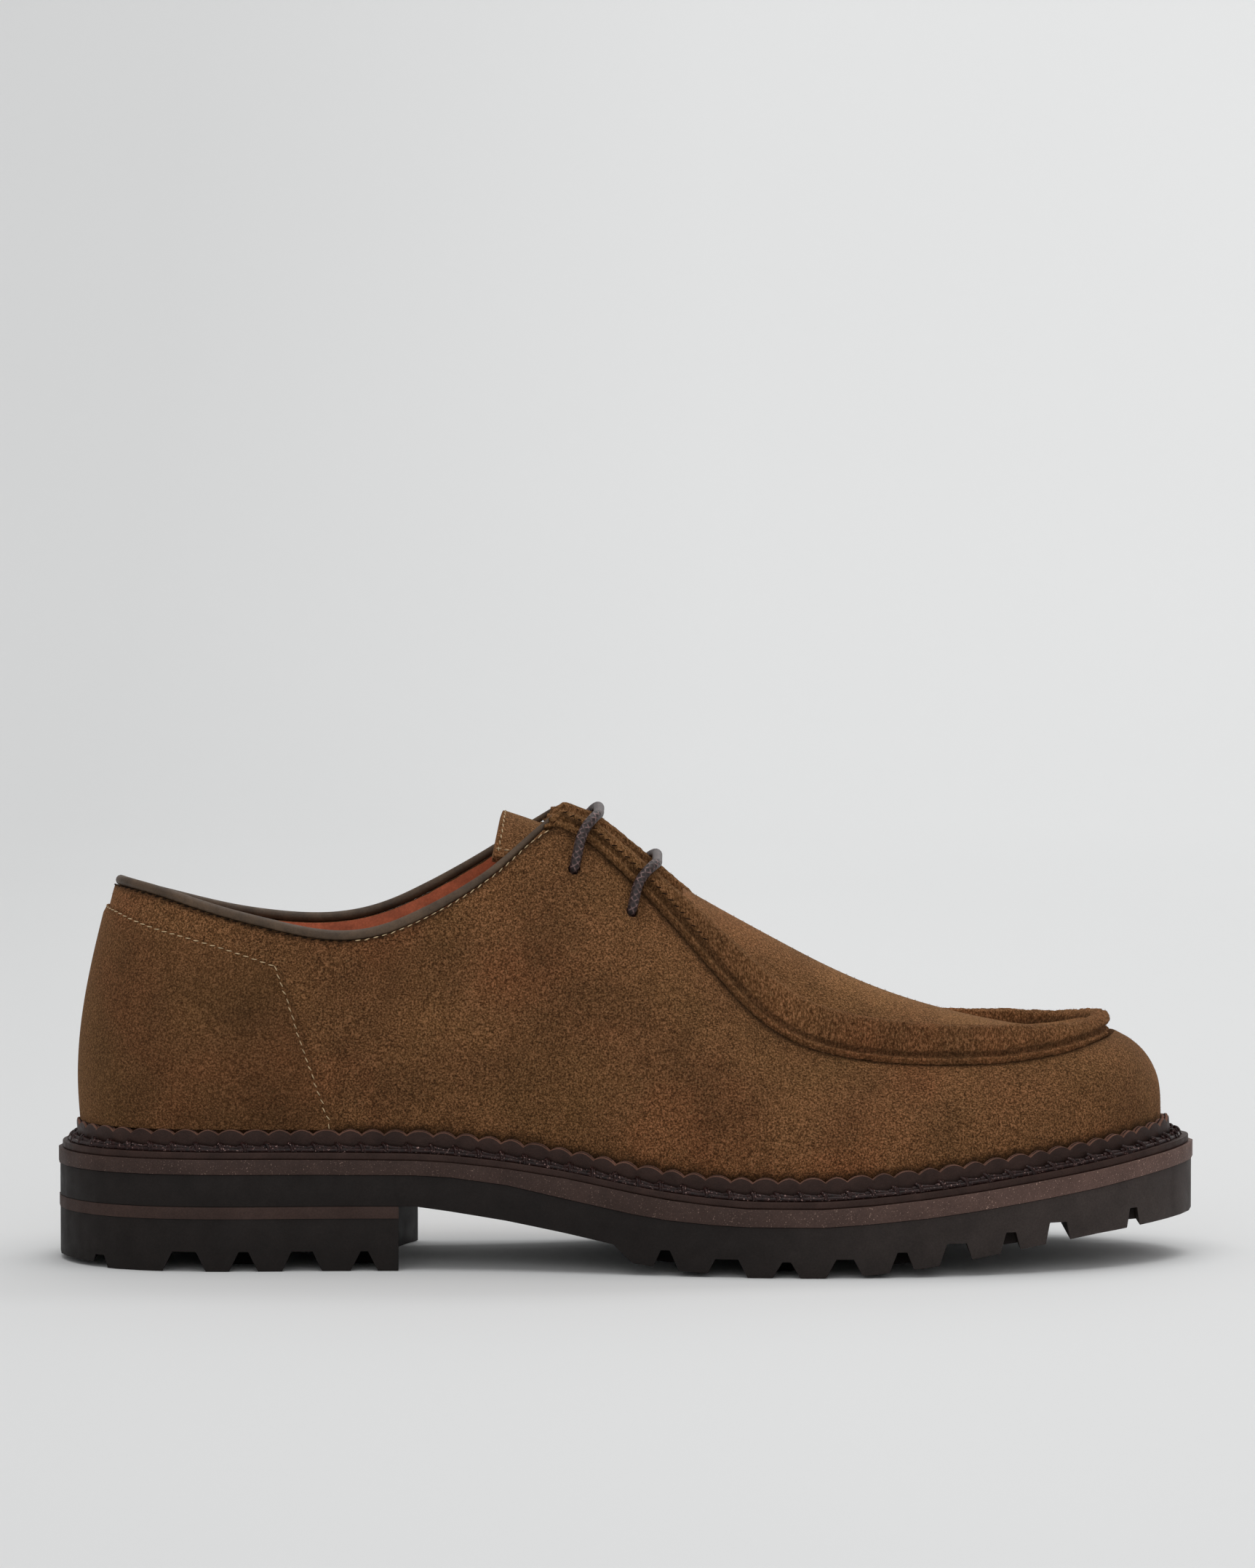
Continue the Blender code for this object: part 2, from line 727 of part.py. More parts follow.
def make_midsole():
    """The brown layer between welt and outsole."""
    bm = slab_mesh(0.0, sole_height("midsole_bottom"), sole_height("midsole_top"), sole_stations())
    finish_object("midsole", bm, "midsole", smooth=False)


def make_heel():
    """The brown lift and the lugged block below the outsole's flat heel seat."""
    lift = slab_mesh(0.2, level(HEEL_LIFT_BOTTOM), level(HEEL_LIFT_TOP), ())
    cut_breast(finish_object("heel_lift", lift, "heel_lift", smooth=False))
    block = slab_mesh(OUTSOLE_INSET, level(0.0), level(HEEL_LIFT_BOTTOM), ())
    shape = finish_object("heel_block", block, "heel_block", smooth=False)
    cut_breast(shape)
    cut_grooves(shape, HEEL_GROOVES[1:], level(0.0), level(HEEL_GROOVE_DEPTH))
    cut_grooves(shape, HEEL_GROOVES[:1], level(0.0), level(HEEL_REAR_LIFT + 2.0))
    rear = (HEEL_GROOVES[0][0] - 10.0, 20.0, 19.0, True)
    cut_grooves(shape, (rear,), level(0.0), level(HEEL_REAR_LIFT))


def make_insole():
    """The leather board that the foot stands on, inside the upper."""
    low, high = CLEARANCE, CLEARANCE + INSOLE_THICKNESS
    bm = slab_mesh(
        FEATHER_INSET + WALL + 2 * CLEARANCE,
        sole_height("midsole_top", low),
        sole_height("midsole_top", high),
        sole_stations(),
        count=48,
    )
    finish_object("insole", bm, "insole")


def make_welt():
    """The storm welt: a flat flange on the midsole and an upright lip against the upper."""
    sections = []
    for place in range(WELT_COLUMNS):
        turn = place / WELT_COLUMNS
        edge = OUTLINE.inset(turn, WELT_EDGE_INSET)
        ground = SOLE.straight_at("midsole_top", edge[0]) + CLEARANCE
        foot = upper_point(turn, 0.0)[2]
        corner_rise = rise_at_height(turn, foot + WELT_FLAT)
        lip_rise = rise_at_height(turn, foot + WELT_LIP)
        outer = WELT_LIP_THICKNESS + CLEARANCE
        sections.append(
            (
                upper_point(turn, 0.0, CLEARANCE),
                upper_point(turn, corner_rise, CLEARANCE),
                upper_point(turn, lip_rise, CLEARANCE),
                upper_point(turn, lip_rise, outer),
                upper_point(turn, corner_rise, outer + 0.4),
                (edge[0], edge[1], ground + WELT_FLAT - 0.3),
                (edge[0], edge[1], ground),
            )
        )
    swept_solid("welt", sections, "welt", closed=True)


# The upper and its overlays


def make_upper():
    """The hollow leather shell, open at the collar, throat and apron, and underneath."""
    outer, inner = [], []
    for column in range(UPPER_COLUMNS):
        turn = column / UPPER_COLUMNS
        faces_out, faces_in = [], []
        for row in range(UPPER_ROWS + 1):
            rise = row / UPPER_ROWS
            point = upper_point(turn, rise)
            behind = point - upper_normal(turn, rise) * WALL
            if row == 0:
                behind[2] = point[2]
            faces_out.append(point)
            faces_in.append(behind)
        outer.append(faces_out)
        inner.append(faces_in)
    shape = grid_solid("upper", outer, inner, "upper", closed=True)
    bm = bmesh.new()
    for share, rise, _ in LACE_HOLES:
        for side in (-1, 1):
            turn = turn_of(share, side)
            punch(bm, upper_point(turn, rise), upper_normal(turn, rise))
    cutter = finish_object("hole_cutter", bm, "upper", smooth=False)
    add_boolean(shape, cutter)


def punch(bm, point, direction):
    """A short round bar through the wall, to cut a lace hole."""
    beside = unit(np.cross(direction, (0.0, 0.0, 1.0)))
    over = np.cross(direction, beside)
    rings = []
    for depth in (-2.5 * WALL, 1.5 * WALL):
        ring = []
        for place in range(12):
            angle = math.tau * place / 12
            offset = (beside * math.cos(angle) + over * math.sin(angle)) * LACE_HOLE_RADIUS
            ring.append(bm.verts.new(point + direction * depth + offset))
        rings.append(ring)
    for place in range(12):
        after = (place + 1) % 12
        bm.faces.new((rings[0][place], rings[0][after], rings[1][after], rings[1][place]))
    bm.faces.new(rings[0])
    bm.faces.new(rings[1])


def make_counter():
    """The skived heel counter: a thin overlay cut from the upper's own surface."""
    half_columns, rows = 14, 6
    outer, inner = [], []
    for column in range(-half_columns, half_columns + 1):
        share = COUNTER_END_SHARE * abs(column) / half_columns
        turn = share / 2 * (1 if column < 0 else -1)
        foot = upper_point(turn, 0.0)[2] + WELT_LIP + CLEARANCE
        top = COUNTER_TABLE.at("height", share)
        low_skin, high_skin = [], []
        for row in range(rows + 1):
            place = rise_at_height(turn, foot + (top - foot) * row / rows)
            low_skin.append(upper_point(turn, place, CLEARANCE + 0.1))
            high_skin.append(upper_point(turn, place, CLEARANCE + 0.1 + COUNTER_THICKNESS))
        outer.append(high_skin)
        inner.append(low_skin)
    grid_solid("counter", outer, inner, "counter", closed=False)


def seam_section(share, side):
    """The raised seam's section: a narrow lower ridge, a tall wall and a flat cut top."""
    height = RIM_TABLE.at("height", share)
    base, inward, stand = seam_frame(share, side)
    section = []
    for inward_by, share_of_height, lift in RIM_OUTER:
        section.append(base + inward * inward_by + stand * (share_of_height * height + lift))
    inner = RIM_TABLE.at("inner", share)
    section.append(base + inward * RIM_INNER_INWARD + stand * (inner + 0.2))
    turn = turn_of(share, side)
    wall_in = base - upper_normal(turn, 1.0) * WALL
    section.append(wall_in + edge_stand(turn) * 0.7 + inward * 0.2)
    return section


def make_apron_seam():
    """The raised seam from the lateral facing round the toe to the medial facing."""
    shares = np.linspace(CORNER_SHARE + 0.003, 1.0, 31)
    path = [(share, -1) for share in shares] + [(share, 1) for share in reversed(shares[:-1])]
    sections = [seam_section(share, side) for share, side in path]
    swept_solid("apron_seam", sections, "apron_seam", closed=False)


def make_apron():
    """The plug of the vamp, crowned over the instep and sunk inside the seam at the toe."""
    rows, columns = 9, 18
    outer, inner = [], []
    for column in range(columns):
        share = THROAT_SHARE + (APRON_END_SHARE - THROAT_SHARE) * column / (columns - 1)
        near, far = apron_edge(share, -1), apron_edge(share, 1)
        middle = (near + far) / 2
        crown = RIDGE.at("height", middle[0]) - middle[2]
        width = np.linalg.norm(far - near)
        crown = crown * min(1.0, width / 26.0)
        top, under = [], []
        for row in range(rows):
            q = row / (rows - 1)
            arch = 1 - abs(2 * q - 1) ** 2.2
            point = near + (far - near) * q + np.array([0.0, 0.0, crown * arch])
            top.append(point)
            under.append(point - np.array([0.0, 0.0, APRON_THICKNESS]))
        outer.append(top)
        inner.append(under)
    grid_solid("apron", outer, inner, "apron", closed=False)


def make_binding():
    """The piping on the collar's edge, from facing corner to facing corner round the heel."""
    steps = int(CORNER_SHARE / 2 * UPPER_COLUMNS) - 1
    end = (CORNER_SHARE - BINDING_STOP) / 2
    turns = [-end, *(place / UPPER_COLUMNS for place in range(-steps, steps + 1)), end]
    points = []
    for turn in turns:
        edge = upper_point(turn, 1.0) - upper_normal(turn, 1.0) * WALL / 2
        points.append(edge + edge_stand(turn) * (BINDING_RADIUS + CLEARANCE + 0.1))
    tube_object("collar_binding", points, BINDING_RADIUS, "collar_binding")


def make_tongue():
    """The tongue under the throat, arched over the instep."""
    rows, columns = 11, 10
    first, last = TONGUE[0][0], TONGUE_REACH
    outer, inner = [], []
    for column in range(columns):
        along = first + (last - first) * column / (columns - 1)
        half = TONGUE_TABLE.at("half", along)
        drop = TONGUE_TABLE.at("drop", along)
        top, under = [], []
        for row in range(rows):
            q = -1 + 2 * row / (rows - 1)
            fall = drop * q**2
            lean = 2.4 * q**2 if column == 0 else 0.0
            middle = LAST_MIDDLE.at("across", along)
            height = TONGUE_TABLE.at("height", along) - fall
            top.append(np.array([along + 2.4 - lean if column == 0 else along, middle + q * half, height]))
            slope = 2 * drop * q / half
            tilt = unit(np.array([0.35, slope, 1.0]))
            under.append(top[-1] - tilt * TONGUE_THICKNESS)
        outer.append(top)
        inner.append(under)
    grid_solid("tongue", outer, inner, "tongue", closed=False)


def lace_half(share, rise, cross_share, side):
    """One side of a lace bar: from inside the wall, out of its hole and over the raised seam."""
    turn = turn_of(share, side)
    hole = upper_point(turn, rise)
    face = upper_normal(turn, rise)
    cross_turn = turn_of(cross_share, side)
    clear = LACE_RADIUS + CLEARANCE + 0.1
    height = RIM_TABLE.at("height", cross_share)
    return [
        hole - face * (WALL + 2.5),
        hole - face * (WALL / 2),
        hole + face * 0.9,
        (hole + face * (clear + 0.5)) * 0.82 + upper_point(cross_turn, 0.95, clear + 0.3) * 0.18,
        upper_point(turn * 0.5 + cross_turn * 0.5, (rise + 0.97) / 2, clear + 0.3),
        seam_point(cross_share, side, -clear - 0.9, 1.6),
        seam_point(cross_share, side, -clear - 0.5, height * 0.62),
        seam_point(cross_share, side, 0.4, height + clear * 0.75),
        seam_point(cross_share, side, 3.0, height + clear + 0.2),
        seam_point(cross_share, side, 6.4, height + clear * 0.9),
    ]


def make_laces():
    """Two bars of round lace, each from hole to hole over both seams and across the throat."""
    for name, (share, rise, cross_share) in zip(("lace_upper", "lace_lower"), LACE_HOLES):
        lateral = lace_half(share, rise, cross_share, -1)
        medial = lace_half(share, rise, cross_share, 1)
        middle = (lateral[-1] + medial[-1]) / 2 + np.array([0.0, 0.0, 0.3])
        points = smooth_path([*lateral, middle, *reversed(medial)], 3.3)
        tube_object(name, points, LACE_RADIUS, "lace")


def main():
    clear_scene()
    make_outsole()
    make_midsole()
    make_heel()
    make_insole()
    make_welt()
    make_upper()
    make_counter()
    make_apron_seam()
    make_apron()
    make_binding()
    make_tongue()
    make_laces()


main()
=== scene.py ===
"""A suede derby shoe: the finish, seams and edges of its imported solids, one operator for each group."""

import math

import bmesh
import bpy
import numpy as np
from bpy.props import FloatProperty, FloatVectorProperty, PointerProperty
from mathutils import Matrix, Vector
from mathutils.kdtree import KDTree


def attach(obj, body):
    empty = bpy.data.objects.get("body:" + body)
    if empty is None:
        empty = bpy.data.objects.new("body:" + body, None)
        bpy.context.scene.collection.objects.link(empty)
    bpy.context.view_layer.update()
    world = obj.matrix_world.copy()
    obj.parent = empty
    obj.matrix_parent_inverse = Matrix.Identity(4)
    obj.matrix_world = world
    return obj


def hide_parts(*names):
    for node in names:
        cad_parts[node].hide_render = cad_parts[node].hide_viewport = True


bl_info = {
    "name": "Derby shoe",
    "version": (1, 0, 0),
    "blender": (4, 5, 0),
    "location": "View3D > Sidebar > Shoe",
    "description": "Builds the suede, leather, rubber and thread of a derby shoe round its solids",
    "category": "Object",
}

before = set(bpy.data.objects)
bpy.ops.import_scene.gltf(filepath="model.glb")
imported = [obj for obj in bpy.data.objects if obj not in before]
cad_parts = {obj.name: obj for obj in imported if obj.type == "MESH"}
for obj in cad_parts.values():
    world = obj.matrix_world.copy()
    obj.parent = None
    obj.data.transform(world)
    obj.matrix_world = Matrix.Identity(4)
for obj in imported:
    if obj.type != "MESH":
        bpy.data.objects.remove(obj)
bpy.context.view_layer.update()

MM = 0.001
SHARP = math.radians(28)  # edges over this are borders and seams
VERY_SHARP = math.radians(65)  # edges over this are the caps of a tube
QUAD_ANGLE = math.radians(60)  # triangles that differ by less become quads
HOLE_EDGE_LENGTH = 20 * MM  # the edge round a lace hole is shorter
HOLE_WALL = (2.1 * MM, 4 * MM)  # radius and half height of what is taken out at a lace hole
LINING_END = 120 * MM  # in front of it the shell's turned edge is suede
LAST_AXIS = (Vector((-0.09, 0, 0.045)), Vector((0.10, 0, 0.040)))
OUTER_SKIN = 1.5 * MM  # how far out a seam is held when it is laid on the suede
INNER_SKIN = -2 * MM  # and on the lining
FIBRE_LEAN = 0.4  # spread of the fibres' directions, against a normal's length of 1
FIBRE_ROOT = 0.15  # how deep a fibre stands in the suede, in mm
SIN_60 = 0.866


def size(name, millimetres, description):
    return FloatProperty(
        name=name, description=description, default=millimetres * MM, min=0, precision=5, unit="LENGTH"
    )


def colour(name, red, green, blue, description):
    return FloatVectorProperty(
        name=name, description=description, default=(red, green, blue), min=0, max=1, subtype="COLOR"
    )


class ShoeSizes(bpy.types.PropertyGroup):
    """Sizes of what is sewn, cut and rubbed into the solids."""

    merge: size("Merge distance", 0.02, "Points of a solid's copy this close become one")
    scallop_pitch: size("Scallop pitch", 6.3, "From one cusp of the welt's edge to the next")
    scallop_depth: size("Scallop depth", 1.35, "How far the cusps lie below the tops of the scallops")
    lip_rise: size("Lip rise", 0.6, "How far the welt's lip stands above its solid")
    braid_strand: size("Braid strand", 0.78, "Radius of each thread of the welt seam")
    stitch_pitch: size("Stitch pitch", 2.35, "From one fine stitch to the next")
    stitch_length: size("Stitch length", 1.6, "Length of a fine stitch")
    stitch_radius: size("Stitch radius", 0.16, "Half the width of a fine stitch")
    counter_skive: size("Counter skive", 0.55, "How far the counter's thinned edge is pressed into the upper")
    counter_seam: size("Counter seam", 1.1, "From the counter's edge to its stitches")
    tongue_seam: size("Tongue seam", 1.6, "From the tongue's edge to its stitches")
    collar_seam: size("Collar seam", 0.9, "From the piping down to the stitches under it")
    lining_seam: size("Lining seam", 3.4, "From the piping down to the seam of the lining")
    gather_end: size("Gather end", 22, "How far along the shoe the gathering thread shows")
    rim_groove: size("Seam groove", 0.75, "How deep the line between the seam's ridge and its wall is")
    piping: size("Piping", 1.42, "Radius of the collar's piping")
    piping_end: size("Piping end", 4.0, "How far the piping runs on under the apron's seam")
    lace_hole: size("Lace hole", 1.7, "Radius of a punched lace hole")
    lace: size("Lace", 1.4, "Radius of the lace")
    lace_twist: size("Lace weave", 1.2, "Length of one repeat of the lace's weave")
    rubber_edge: size("Rubber edge", 0.45, "Rounding of the moulded rubber's edges")
    layer_gap: size("Layer gap", 0.26, "How far a sole layer's top is raised to meet the layer above")
    nap: size("Nap", 0.30, "Height of the loose nap on the cut seam")
    fibre: size("Fibre", 0.5, "Length of the loose fibres that stand up from the suede")
    fibre_radius: size("Fibre radius", 0.03, "Half the width of a fibre at its root")


class ShoeColours(bpy.types.PropertyGroup):
    """Colours of the shoe's materials, in linear light."""

    suede: colour("Suede", 0.124, 0.0550, 0.0205, "The brushed suede's middle brown")
    # suede_dark is used only as the painted shade along seams, cuts and lace holes
    suede_dark: colour("Suede shade", 0.050, 0.024, 0.010, "Where the nap lies away from the light")
    suede_light: colour("Suede light", 0.290, 0.165, 0.075, "Where the nap lies towards the light")
    piping: colour("Piping", 0.080, 0.050, 0.029, "Leather piping round the collar")
    lining: colour("Lining", 0.540, 0.140, 0.062, "Rust leather inside the shoe")
    insole: colour("Insole", 0.190, 0.078, 0.040, "Darker leather that the foot stands on")
    welt: colour("Welt", 0.040, 0.0215, 0.0170, "Dark leather of the welt")
    # The cut edge's colour is partly the raw edge's own, partly painted highlight on the lip's tops
    welt_edge_and_highlight: colour("Welt edge", 0.150, 0.072, 0.048, "Raw cut edge of the welt's scallops")
    midsole: colour("Midsole", 0.046, 0.0272, 0.0222, "Red-brown rubber layer")
    rubber: colour("Rubber", 0.0128, 0.0098, 0.0088, "Outsole and heel")
    pale_thread: colour("Pale thread", 0.480, 0.350, 0.200, "Fine stitches that show")
    dark_thread: colour("Dark thread", 0.012, 0.0065, 0.0040, "Fine stitches that match the suede")
    braid: colour("Braid thread", 0.019, 0.0068, 0.0058, "Waxed thread of the welt seam")
    lace: colour("Lace", 0.036, 0.0215, 0.0200, "Waxed lace")
    backdrop: colour("Backdrop", 0.790, 0.796, 0.794, "Studio paper")


def sizes():
    return bpy.context.scene.shoe_sizes


def colours():
    return bpy.context.scene.shoe_colours


def only(piece):
    """Leave this piece alone selected and active."""
    bpy.ops.object.select_all(action="DESELECT")
    piece.select_set(True)
    bpy.context.view_layer.objects.active = piece


def modified(piece, kind, **settings):
    """Add a modifier with these settings and apply it."""
    only(piece)
    modifier = piece.modifiers.new(kind.title(), kind)
    for name, value in settings.items():
        setattr(modifier, name, value)
    bpy.ops.object.modifier_apply(modifier=modifier.name)


def linked(name, data):
    """A new object of the scene with this mesh, curve, lamp or camera."""
    made = bpy.data.objects.new(name, data)
    bpy.context.scene.collection.objects.link(made)
    return made


def copy_of(node, name):
    """A CAD node's copy with its points merged and its triangles joined to quads."""
    piece = linked(name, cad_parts[node].data.copy())
    piece.data.materials.clear()
    only(piece)
    bpy.ops.mesh.customdata_custom_splitnormals_clear()
    bpy.ops.object.mode_set(mode="EDIT")
    bpy.ops.mesh.select_all(action="SELECT")
    bpy.ops.mesh.remove_doubles(threshold=sizes().merge)
    bpy.ops.mesh.tris_convert_to_quads(face_threshold=QUAD_ANGLE, shape_threshold=QUAD_ANGLE)
    bpy.ops.object.mode_set(mode="OBJECT")
    return piece


def measured(node, measure):
    """What measure finds on a copy of the node, which is then removed."""
    guide = copy_of(node, node + "_guide")
    found = measure(guide)
    bpy.data.objects.remove(guide)
    return found


def softened(piece, crease, levels):
    """Subdivide the piece, its sharp edges creased by this much."""
    only(piece)
    bpy.ops.object.mode_set(mode="EDIT")
    bpy.ops.mesh.select_mode(type="EDGE")
    bpy.ops.mesh.select_all(action="DESELECT")
    bpy.ops.mesh.edges_select_sharp(sharpness=SHARP)
    bpy.ops.transform.edge_crease(value=crease)
    bpy.ops.mesh.select_mode(type="VERT")
    bpy.ops.object.mode_set(mode="OBJECT")
    modified(piece, "SUBSURF", levels=levels, render_levels=levels)


def select_points(piece, chosen):
    """Select these points of the piece, a mask or their numbers, and go into edit mode."""
    only(piece)
    bpy.ops.object.mode_set(mode="EDIT")
    bpy.ops.mesh.select_mode(type="VERT")
    bpy.ops.mesh.select_all(action="DESELECT")
    bpy.ops.object.mode_set(mode="OBJECT")
    mask = np.zeros(len(piece.data.vertices), bool)
    mask[chosen] = True
    piece.data.vertices.foreach_set("select", mask)
    bpy.ops.object.mode_set(mode="EDIT")


def pulled(piece, chosen, move, reach=0, falloff="SMOOTH"):
    """Move the chosen points, and what lies within reach of them less and less, in millimetres."""
    select_points(piece, chosen)
    fading = {"proportional_edit_falloff": falloff, "proportional_size": reach * MM} if reach else {}
    bpy.ops.transform.translate(
        value=[step * MM for step in move], use_proportional_edit=bool(reach), **fading
    )
    bpy.ops.object.mode_set(mode="OBJECT")


def points_of(piece):
    places = np.empty(len(piece.data.vertices) * 3, np.float32)
    piece.data.vertices.foreach_get("co", places)
    return places.reshape(-1, 3).astype(float)


def gaps_to(points, places):
    """How far each place lies from the nearest of the points."""
    tree = KDTree(len(points))
    for index, spot in enumerate(points):
        tree.insert(spot, index)
    tree.balance()
    return np.array([tree.find(place)[2] for place in places])


def finished(piece, *nodes, slot, materials, smooth=math.radians(40)):
    """Shade the piece, give it its materials, and let it stand for its CAD nodes."""
    only(piece)
    bpy.ops.object.shade_smooth_by_angle(angle=smooth)
    for material in materials:
        piece.data.materials.append(material)
    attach(piece, "root")
    if nodes:
        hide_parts(*nodes)


class Seam:
    """A line through space that stitches and strands are set along."""

    def __init__(self, points, closed=False):
        points = np.asarray(points, float)
        self.closed = closed
        self.points = np.vstack([points, points[:1]]) if closed else points
        steps = np.linalg.norm(np.diff(self.points, axis=0), axis=1)
        self.at = np.concatenate([[0], np.cumsum(steps)])
        self.length = float(self.at[-1])

    def place(self, along):
        along = along % self.length if self.closed else min(max(along, 0), self.length)
        return Vector([np.interp(along, self.at, self.points[:, axis]) for axis in range(3)])

    def direction(self, along, reach=0.8 * MM):
        return (self.place(along + reach) - self.place(along - reach)).normalized()

    def stations(self, pitch):
        count = max(1, round(self.length / pitch))
        return [(index + 0.5) * self.length / count for index in range(count)]


def rounded(points, closed, levels=3):
    """A chain of points smoothed as a creased edge is by subdivision."""
    points = np.asarray(points, float)
    for _ in range(levels):
        after = np.roll(points, -1, axis=0)
        before = np.roll(points, 1, axis=0)
        middles = (points + after) / 2
        kept = (before + 6 * points + after) / 8
        if not closed:
            kept[0], kept[-1] = points[0], points[-1]
            middles = middles[:-1]
        merged = np.empty((len(kept) + len(middles), 3))
        merged[0::2], merged[1::2] = kept, middles
        points = merged
    return points


class Chain:
    """A run of sharp edges on a solid, such as the edge of a welt."""

    def __init__(self, points, closed):
        self.closed = closed
        self.points = points[:-1] if closed else points
        self.length = float(np.linalg.norm(np.diff(points, axis=0), axis=1).sum())
        self.middle = self.points.mean(axis=0)

    def seam(self):
        return Seam(rounded(self.points, self.closed), self.closed)


def chains_of(piece, concave=False):
    """The piece's sharp edges as chains of points, the longest first."""
    shape = bmesh.new()
    shape.from_mesh(piece.data)
    turn = -1 if concave else 1
    left = {e for e in shape.edges if len(e.link_faces) == 2 and e.calc_face_angle_signed(0) * turn > SHARP}
    meeting = {}
    for edge in sorted(left, key=lambda e: e.index):
        for point in edge.verts:
            meeting.setdefault(point, []).append(edge)

    def walked(edge, point):
        points = [point]
        while True:
            left.discard(edge)
            point = edge.other_vert(point)
            points.append(point)
            onward = [e for e in meeting[point] if e in left]
            if len(meeting[point]) != 2 or not onward:
                return points
            edge = onward[0]

    runs = []
    for point, edges in meeting.items():
        if len(edges) != 2:
            runs += [walked(edge, point) for edge in edges if edge in left]
    for edge in sorted(left, key=lambda e: e.index):
        if edge in left:
            runs.append(walked(edge, edge.verts[0]))
    chains = [Chain(np.array([p.co[:] for p in run]), run[0] is run[-1]) for run in runs]
    shape.free()
    return sorted(chains, key=lambda chain: -chain.length)


def joined(parts, name):
    """Several objects made one, named."""
    bpy.ops.object.select_all(action="DESELECT")
    for part in parts:
        part.select_set(True)
    bpy.context.view_layer.objects.active = parts[0]
    bpy.ops.object.join()
    piece = bpy.context.view_layer.objects.active
    piece.name = name
    return piece


def repeated(unit, matrices, name):
    """The unit copied to each place, each copy with its own mesh, and all joined."""
    parts = []
    for matrix in matrices:
        part = unit.copy()
        part.data = unit.data.copy()
        bpy.context.scene.collection.objects.link(part)
        part.data.transform(matrix)
        parts.append(part)
    bpy.data.objects.remove(unit)
    return joined(parts, name)


def placed(origin, along, out):
    """A matrix with X along the seam and Z out of the surface."""
    out = (out - along * out.dot(along)).normalized()
    across = out.cross(along)
    rotation = Matrix((along, across, out)).transposed().to_4x4()
    return Matrix.Translation(origin) @ rotation


def from_foot(place):
    """The way from the middle of the foot out through a place on the shoe."""
    low, high = LAST_AXIS
    share = (place.x - low.x) / (high.x - low.x)
    return (place - low.lerp(high, min(max(share, 0), 1))).normalized()


def on_skin(piece, point, lift):
    """The place on the piece's outer skin by this point, or on its inner skin if lift is negative."""
    found, place, normal, _ = piece.closest_point_on_mesh(point + from_foot(point) * lift)
    if not found:
        raise RuntimeError(f"{piece.name} has no surface near a seam")
    return place, normal


def shifted(chain, piece, shift, lift=OUTER_SKIN):
    """A chain's seam moved by shift, a function of place and direction, and laid on the piece's skin."""
    seam = chain.seam()
    count = int(seam.length / MM)
    points = []
    for index in range(count + (0 if seam.closed else 1)):
        along = index * seam.length / count
        place = seam.place(along)
        moved = place + shift(place, seam.direction(along, 2 * MM))
        points.append(on_skin(piece, moved, lift)[0][:])
    return Seam(points, seam.closed)


def towards(centre, distance):
    """A shift along the skin, square to the seam, to the side where centre is."""

    def shift(place, direction):
        across = from_foot(place).cross(direction).normalized()
        return across * math.copysign(distance, across.dot(centre - place))

    return shift


def downwards(distance):
    """A shift straight down."""
    return lambda place, direction: Vector((0, 0, -distance))


def fibres(piece, name, count, share, seed, keep=lambda x, z: z > 0):
    """Loose fibres on the outside of a suede piece: thin closed spikes, each leaning its own way."""
    wanted = sizes()
    random = np.random.default_rng(seed)
    faces = piece.data.polygons
    centres = np.array([face.center[:] for face in faces])
    normals = np.array([face.normal[:] for face in faces])
    areas = np.array([face.area * (face.material_index == 0) for face in faces])
    weights = areas * keep(centres[:, 0], centres[:, 2])
    chosen = random.choice(len(faces), size=count, p=weights / weights.sum())
    out = normals[chosen] + random.normal(0, FIBRE_LEAN, (count, 3))
    out /= np.linalg.norm(out, axis=1)[:, None]
    first = np.cross(out, random.normal(0, 1, (count, 3)))
    first *= wanted.fibre_radius / np.linalg.norm(first, axis=1)[:, None]
    second = np.cross(out, first) * SIN_60
    roots = centres[chosen] + random.normal(0, 0.1 * MM, (count, 3)) - out * FIBRE_ROOT * MM
    lengths = wanted.fibre * share * random.uniform(0.6, 1.3, (count, 1)) + FIBRE_ROOT * MM
    ring = (roots + first, roots - first / 2 + second, roots - first / 2 - second)
    corners = np.stack([*ring, roots + out * lengths], axis=1)
    sides = np.array([(0, 1, 3), (1, 2, 3), (2, 0, 3), (0, 2, 1)])
    every = (np.arange(count)[:, None, None] * 4 + sides).reshape(-1, 3)
    mesh = bpy.data.meshes.new(name)
    mesh.from_pydata(corners.reshape(-1, 3).tolist(), [], every.tolist())
    finished(linked(name, mesh), slot="upper", materials=[piece.data.materials[0]], smooth=math.pi)


def mark_hollows(piece, points, reach):
    """Note on the piece how near, within reach in millimetres, its points lie to a seam or a cut, as a mask
    of painted shade that its material darkens.
    """
    near = np.clip(1 - gaps_to(points, points_of(piece)) / (reach * MM), 0, 1)
    made = piece.data.attributes.get("hollow") or piece.data.attributes.new("hollow", "FLOAT", "POINT")
    before = np.zeros(len(near), np.float32)
    made.data.foreach_get("value", before)
    made.data.foreach_set("value", np.maximum(before, near).astype(np.float32))


def thread_stitch(radius, length):
    """One fine stitch, a grain of thread that dips at both ends."""
    bpy.ops.mesh.primitive_uv_sphere_add(segments=8, ring_count=6, radius=1)
    unit = bpy.context.active_object
    bpy.ops.object.mode_set(mode="EDIT")
    bpy.ops.mesh.select_all(action="SELECT")
    bpy.ops.transform.rotate(value=math.pi / 2, orient_axis="Y", center_override=(0, 0, 0))
    bpy.ops.transform.resize(value=(length / 2, radius, radius), center_override=(0, 0, 0))
    bpy.ops.object.mode_set(mode="OBJECT")
    return unit


